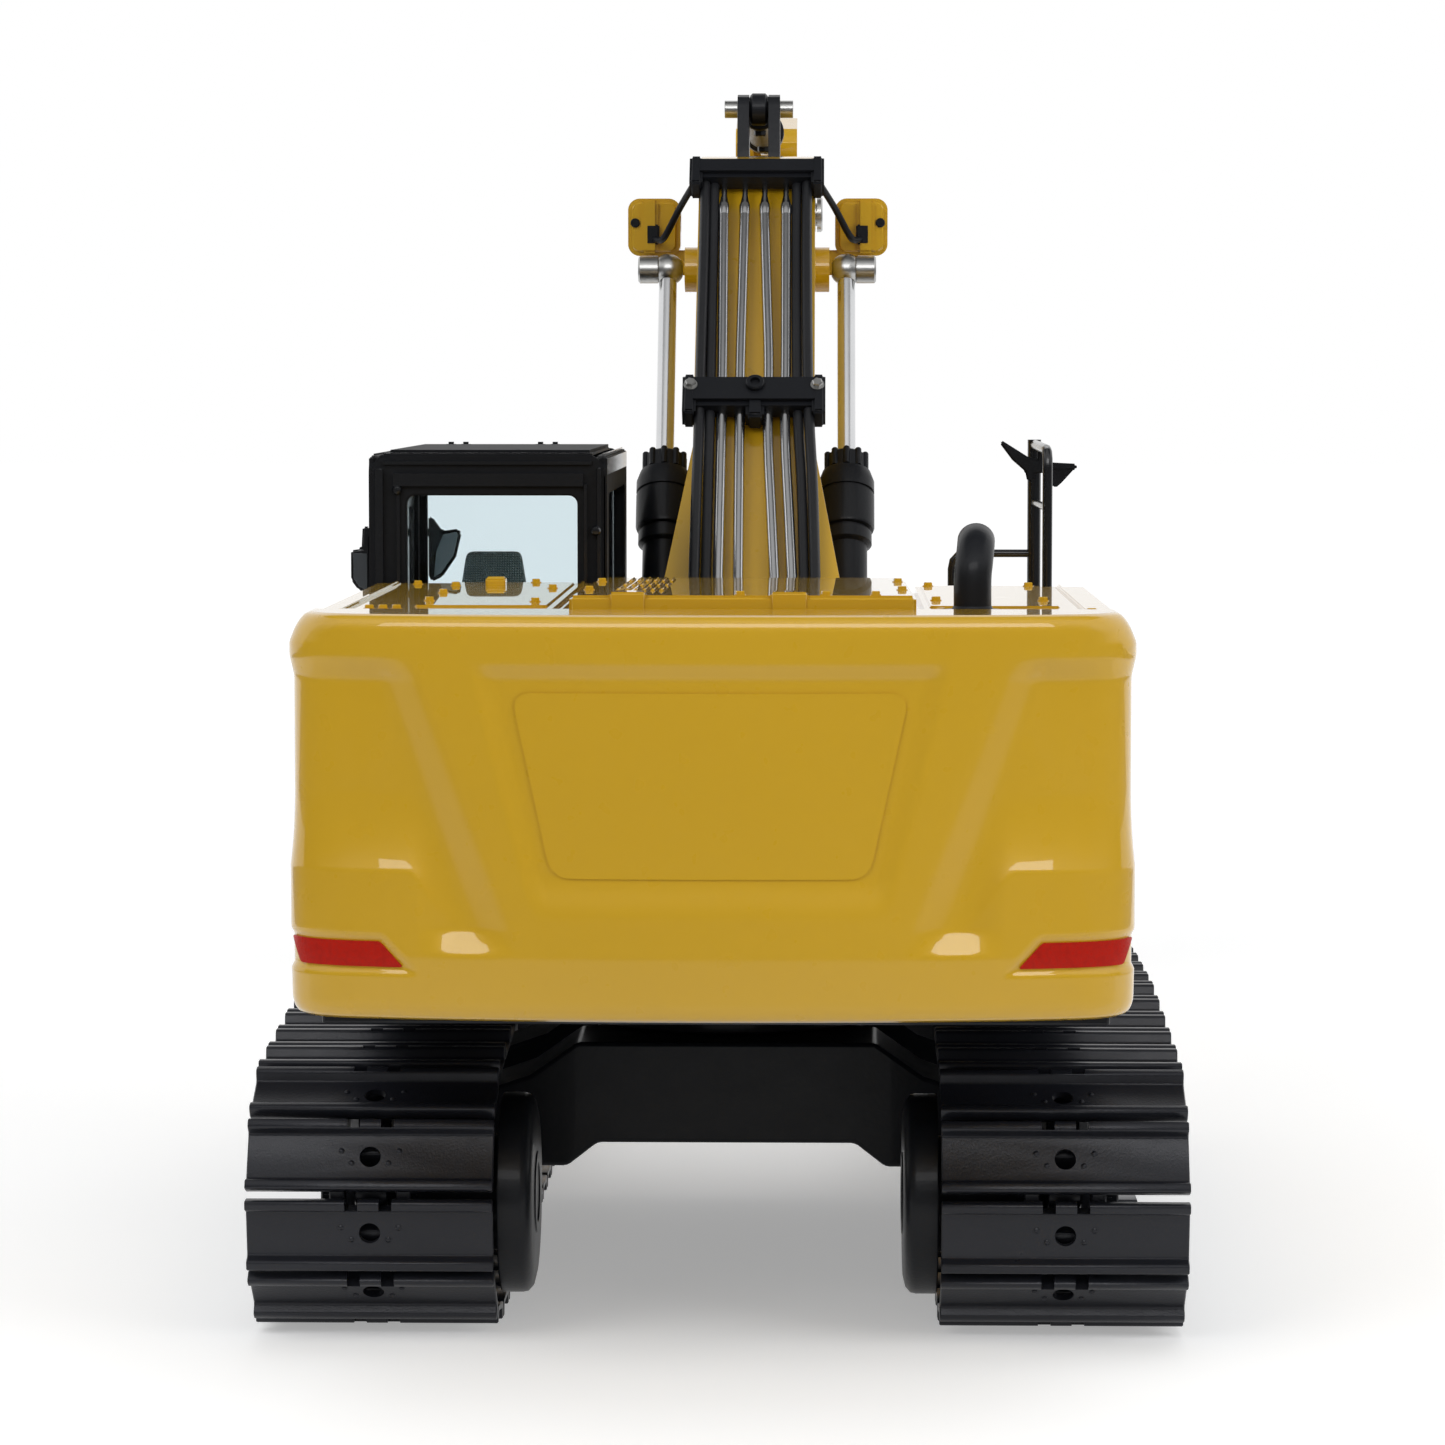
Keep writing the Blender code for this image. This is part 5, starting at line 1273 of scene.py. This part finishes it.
lamp_lens = lens_clear()
for name, side in SIDES:
    middle = BOOM_X + side * 35.15
    outline = rounded_outline((middle - 8.6, 294), (middle + 8.6, 313.4), 3.6, 6)
    outline = [(x + 0.0012 * (x - middle) * (95 - (z - 303.7) ** 2) / 2, z) for x, z in outline]
    shell = extruded(outline, 157.6, 169.4, "Y", 1.8, 5)
    rib = block(sorted((middle + side * 4.4, middle - side * 1.4)), (155.6, 166), (294.8, 312.8), 1.0, 4)
    arm = block(tuple(BOOM_X + at for at in span(side, 19.8, 34)), (160, 166), (287.5, 296), 0.8)
    piece(
        f"{name}_light_housing", joined(shell, rib, arm), yellow_enamel, "boom",
        [f"{name}_work_light"], UPPER,
    )
    lens = block((middle - 6.8, middle + 6.8), (168.6, 170.0), (296, 311.4), 0.6, 3)
    piece(f"{name}_light_lens", lens, lamp_lens, "boom", lift=UPPER)
    socket = block(sorted((middle + side * 2.6, middle - side * 1.8)), (155.2, 158.2), (297.8, 304.5), 0.5, 3)
    screw = [(0, 0), (0, 1.6), (0.9, 1.6), (1.2, 1.3), (1.2, 0)]
    screw = turned(screw, (middle + side * 6.4, 158, 305.1), (0, -1, 0), 20)
    lead = [
        (BOOM_X + side * 20.8, *back_of_boom(UPPER_CLAMP_AT - 6, 6.0)), (BOOM_X + side * 26.0, 146.6, 309.8),
        (BOOM_X + side * 30.6, 150.6, 301.4), (BOOM_X + side * 32.6, 153.2, 299.2), (middle, 156.4, 299.6),
    ]
    lead = pipe(smooth_route(lead, 8), 1.15, 14)
    piece(f"{name}_light_socket", joined(socket, screw, lead), satin_black, "boom", lift=UPPER)

# Hydraulic cylinders. Each has a black barrel with a screwed gland, a pipe union near both of its ends and a
# base eye, and a chromed rod whose forged eye takes the pin of the piece that it moves.

BOOM_ROD_PIN = (146.5, 289.0)
BOOM_BASE_PIN = (47.0, 104.0)
STICK_TAIL = (400.0, 343.0)
BOOM_TIP = (436.0, 318.0)
STICK_LENGTH = 232.0
BOOM_CYLINDER = {
    "barrel": 139.5, "eye": 7, "eye_half": 4.8, "pin": 3.2, "neck": 12, "tube": 6.8, "gland": 9.2,
    "head": 33, "cap": 6, "rod": 3, "rod_start": 60, "rod_eye": 6.2,
}
STICK_CYLINDER = {
    "barrel": 134, "eye": 5.5, "eye_half": 3, "pin": 3, "neck": 15, "tube": 6.3, "gland": 7.6,
    "head": 15, "cap": 3, "rod": 3, "rod_start": 34, "rod_eye": 4.0,
}
BUCKET_CYLINDER = {
    "barrel": 112, "eye": 5.5, "eye_half": 4, "pin": 2.8, "neck": 10, "tube": 5.2, "gland": 6.4,
    "head": 15, "cap": 3, "rod": 2.5, "rod_start": 25, "rod_eye": 4.0,
}
GLAND_TEETH = 10


def stick_point(along, across):
    """A point of the stick as (y, z): along it from its pivot, and across it to its front side."""
    angle = math.radians(-80.0)
    y = BOOM_TIP[0] + along * math.cos(angle) - across * math.sin(angle)
    z = BOOM_TIP[1] + along * math.sin(angle) + across * math.cos(angle)
    return y, z


BUCKET_PIN = stick_point(STICK_LENGTH, 0)
ROCKER_PIN = stick_point(STICK_LENGTH - 34.0, 0)
ROCKER_END = polar(ROCKER_PIN, 32.0, 16.0)
BUCKET_BASE_PIN = stick_point(8, 27)


def eye(x, place, half, radius, bore):
    """A forged eye on a pin, with its corners turned off."""
    profile = [
        (-half, bore), (-half, radius - 0.8), (-half + 0.8, radius), (half - 0.8, radius),
        (half, radius - 0.8), (half, bore),
    ]
    return turned(profile, (x, *place), (1, 0, 0), 32)


def cylinder(body, node, x, base, tip, size):
    """Makes the barrel on its base pin as a piece, and returns the shape of the rod that slides in it."""
    length, tube, gland, rod, neck = (size[key] for key in ("barrel", "tube", "gland", "rod", "neck"))
    half, ring, bore = size["eye_half"], size["eye"], size["pin"] + 0.4
    foot = Vector((x, *base))
    line = Vector((0, tip[0] - base[0], tip[1] - base[1]))
    head, cap = size["head"], size["cap"]
    profile = [
        (ring * 0.75, 0), (ring * 0.75, half - 0.3), (neck - 1, half - 0.3), (neck, tube - 0.6),
        (neck + 0.8, tube),
    ]
    steps = [
        (head + 0.6, tube), (head, gland - 1.4), (head - 0.5, gland - 0.9), (head * 0.87, gland - 0.9),
        (head * 0.86, gland - 1.6), (head * 0.84, gland - 1.6), (head * 0.83, gland - 0.4),
        (head * 0.80, gland), (head * 0.45, gland), (head * 0.445, gland - 0.6), (head * 0.42, gland - 0.6),
        (head * 0.415, gland), (head * 0.30, gland), (cap + 0.4, gland - 1.2), (cap, gland - 2.0),
        (cap, gland - 2.6), (0.6, gland - 2.6), (0.0, gland - 3.2),
    ]
    profile += [(length - back, radius) for back, radius in steps]
    profile += [(length, rod + 0.5), (length - 2, rod + 0.5), (length - 2, 0)]
    barrel = [turned(profile, foot, line, 40), eye(x, base, half, ring, bore)]
    across = Vector((0, -line.z, line.y)).normalized()
    for along in (neck + 6, length - head - 5):
        port = [(0, 0), (0, 2.2), (tube + 1.2, 2.2), (tube + 1.6, 1.8), (tube + 1.6, 0)]
        barrel.append(turned(port, foot + line.normalized() * along, -across, 6))
    for n in range(GLAND_TEETH):
        turn = Matrix.Rotation(2 * math.pi * n / GLAND_TEETH, 3, line.normalized())
        spot = foot + line.normalized() * (length - cap * 0.5) + turn @ (across * (gland - 2.7))
        tooth = [(-cap * 0.45, 0), (-cap * 0.45, 1.1), (cap * 0.5, 1.1), (cap * 0.56, 0.8), (cap * 0.56, 0)]
        barrel.append(turned(tooth, spot, line, 8))
    piece(
        f"{node}_tube", joined(*barrel), satin_black, f"{body}_barrel", [f"{node}_barrel"],
        UPPER,
    )
    end = line.length
    rod_eye = size["rod_eye"]
    shaft = [
        (size["rod_start"], 0), (size["rod_start"], rod), (end - rod_eye + 0.6, rod), (end - 2, rod * 0.8),
        (end - 2, 0),
    ]
    return turned(shaft, foot, line, 32)


for name, side in SIDES:
    x = BOOM_X + side * 30.0
    shaft = cylinder(f"{name}_boom", f"{name}_boom_cylinder", x, BOOM_BASE_PIN, BOOM_ROD_PIN, BOOM_CYLINDER)
    ball = [(5.4 * math.cos(math.radians(a)), 5.4 * math.sin(math.radians(a))) for a in range(155, 24, -5)]
    ball = turned([(-4.9, 0), *ball, (4.9, 0)], (x, *BOOM_ROD_PIN), (1, 0, 0), 40)
    stub = [(3.4, 0), (3.4, 4.6), (9.4, 4.6), (10.0, 4.0), (10.0, 0)]
    stub = turned(stub, (x, *BOOM_ROD_PIN), (side, 0, 0), 28)
    piece(
        f"{name}_boom_cylinder_shaft", shaft, chrome, f"{name}_boom_rod",
        [f"{name}_boom_cylinder_rod"], UPPER,
    )
    piece(f"{name}_rod_end", joined(ball, stub), bright_steel, f"{name}_boom_rod", lift=UPPER)
shaft = cylinder("stick", "stick_cylinder", BOOM_X, STICK_BASE_PIN, STICK_TAIL, STICK_CYLINDER)
shaft = joined(shaft, eye(BOOM_X, STICK_TAIL, 3, STICK_CYLINDER["rod_eye"], 1.2))
piece("stick_cylinder_shaft", shaft, chrome, "stick_rod", ["stick_cylinder_rod"], UPPER)
shaft = cylinder("bucket", "bucket_cylinder", BOOM_X, BUCKET_BASE_PIN, ROCKER_END, BUCKET_CYLINDER)
shaft = joined(shaft, eye(BOOM_X, ROCKER_END, 4, BUCKET_CYLINDER["rod_eye"], 1.2))
piece("bucket_cylinder_shaft", shaft, chrome, "bucket_rod", ["bucket_cylinder_rod"], UPPER)

# Stick, linkage and bucket. The stick is a welded yellow box between the boom's fork plates. A pair of black
# rockers and a link turn the bucket, a welded yellow shell with five wedge teeth on its lip.

dressed("stick", yellow_enamel, "stick", 0.9)
piece(
    "stick_pin_turned", headed_pin(BOOM_TIP, 19.8, 4.6), bright_steel, "boom",
    ["stick_pin"], UPPER,
)
pin = [(-19, 0), (-19, 3.4), (-18.4, 4.2), (18.4, 4.2), (19, 3.4), (19, 0)]
piece(
    "bucket_pin_turned", turned(pin, (BOOM_X, *BUCKET_PIN), (1, 0, 0), 28), bright_steel, "stick",
    ["bucket_pin"], UPPER,
)
for name, side in SIDES:
    dressed(f"{name}_rocker", satin_black, "rocker", 0.5)
dressed("bucket_link", satin_black, "bucket_link", 0.5)
dressed("bucket", yellow_enamel, "bucket", 0.7)

# Studio. A plain pale floor under a white surround, lit by three large soft lamps. Cloths that are stretched
# round the set show only in the gloss of the paint and the steel.


def looked_at(start):
    """1 on rays that show a surface, straight, in gloss or through glass, and 0 on those that only light."""
    kinds = ("Is Camera Ray", "Is Glossy Ray", "Is Transmission Ray")
    straight, in_gloss, through_glass = [start.add("ShaderNodeLightPath", {}, {}, kind) for kind in kinds]
    return start.work_out("MINIMUM", straight + in_gloss + through_glass, 1.0)


def white_floor():
    settings = {"Base Color": (0.86, 0.865, 0.87, 1), "Specular IOR Level": 0.0, "Emission Strength": 1.0}
    material, shader, start = new_finish("white floor", settings)
    seen = looked_at(start)
    place = start.add("ShaderNodeTexCoord", {}, {}, "Object")
    away = start.add("ShaderNodeVectorMath", {"operation": "LENGTH"}, {0: place}, "Value")
    ends = {"Value": away, "From Min": 0.5, "From Max": 2.4, "To Min": 0.34, "To Max": 0.66}
    glow = start.add("ShaderNodeMapRange", {}, ends)
    (seen * glow).into(shader, "Emission Color")
    return material


floor = bpy.data.meshes.new("floor")
floor.from_pydata([(-12, -12, 0), (12, -12, 0), (12, 12, 0), (-12, 12, 0)], [], [(0, 1, 2, 3)])
floor.materials.append(white_floor())
floor = bpy.data.objects.new("floor", floor)
bpy.context.scene.collection.objects.link(floor)

world = bpy.data.worlds.new("white surround")
world.use_nodes = True
bpy.context.scene.world = world
sky = Tone(world.node_tree)
world.node_tree.nodes["Background"].inputs["Color"].default_value = (1, 1, 1, 1)
(looked_at(sky) * 0.55 + 0.45).into(world.node_tree.nodes["Background"], "Strength")

for label, place, aim, width, power in (
    ("key lamp", (-1.1, -1.5, 1.5), (0, -0.1, 0.15), 1.2, 14.0),
    ("fill lamp", (1.5, -1.1, 0.9), (0, -0.1, 0.15), 1.2, 12.0),
    ("top lamp", (0.1, 0.2, 1.9), (0, 0, 0.15), 1.5, 8.0),
):
    lamp = bpy.data.lights.new(label, "AREA")
    lamp.size = width
    lamp.energy = power
    lamp = bpy.data.objects.new(label, lamp)
    lamp.visible_glossy = False
    lamp.location = place
    lamp.rotation_euler = (Vector(aim) - Vector(place)).to_track_quat("-Z", "Y").to_euler()
    bpy.context.scene.collection.objects.link(lamp)


def cloth(name, axis, from_at, to_at, from_level, to_level):
    """Stretched cloth whose brightness drifts along an axis, so that its edge leaves no line in the gloss."""
    material, shader, start = new_finish(name, {"Base Color": (0, 0, 0, 1), "Emission Strength": 1.0})
    place = start.add("ShaderNodeTexCoord", {}, {}, "Object")
    at = start.add("ShaderNodeSeparateXYZ", {}, {"Vector": place}, axis)
    ends = {"Value": at, "From Min": from_at, "From Max": to_at, "To Min": from_level, "To Max": to_level}
    start.add("ShaderNodeMapRange", {"interpolation_type": "SMOOTHSTEP"}, ends).into(shader, "Emission Color")
    return material


def upright(a, b, low, high):
    return [(*a, low), (*b, low), (*b, high), (*a, high)]


def level(x, y, z):
    return [(x[0], y[0], z), (x[1], y[0], z), (x[1], y[1], z), (x[0], y[1], z)]


cards = {
    "rear_card": (upright((-6.0, -3.0), (6.0, -3.0), 0.01, 2.6), "Z", 0.8, 2.6, 0.10, 0.97),
    "left_card": (upright((-6.0, -3.0), (-6.0, 0.3), 0.01, 2.6), "Z", 0.8, 2.6, 0.08, 0.60),
    "right_card": (upright((6.0, -3.0), (6.0, 0.3), 0.01, 2.6), "Z", 0.8, 2.6, 0.10, 0.97),
    "top_card": (level((-2.6, 2.6), (-1.6, 1.6), 2.8), "Y", -0.5, -0.28, 0.45, 0.10),
    "floor_card": (level((-0.8, 0.8), (-3.0, -0.45), 0.01), "Y", -1.0, -0.45, 0.10, 0.80),
    "left_floor_card": (level((-6.0, -0.8), (-3.0, 0.6), 0.01), "X", -1.2, -0.8, 0.05, 0.12),
    "right_floor_card": (level((0.8, 6.0), (-3.0, 0.6), 0.01), "X", 0.8, 1.2, 0.16, 0.10),
    "soft_box": (upright((-1.4, -2.9), (1.4, -2.9), 1.25, 2.2), "X", -1.4, 1.4, 4.0, 4.6),
}
for label, (corners, *shades) in cards.items():
    card = bpy.data.meshes.new(label)
    card.from_pydata(corners, [], [(0, 1, 2, 3)])
    card.materials.append(cloth(label.replace("_", " "), *shades))
    card = bpy.data.objects.new(label, card)
    card.visible_camera = card.visible_diffuse = card.visible_shadow = card.visible_transmission = False
    bpy.context.scene.collection.objects.link(card)

camera = bpy.data.cameras.new("camera")
camera.lens = 110.9
camera.sensor_width = 36.0
camera = bpy.data.objects.new("camera", camera)
camera.location = (0.02785, -1.4975, 0.2613)
camera.rotation_euler = (math.radians(90 - 4.427), 0, math.radians(1.275))
bpy.context.scene.collection.objects.link(camera)
bpy.context.scene.camera = camera
bpy.context.scene.view_settings.view_transform = "Standard"

bpy.context.view_layer.update()
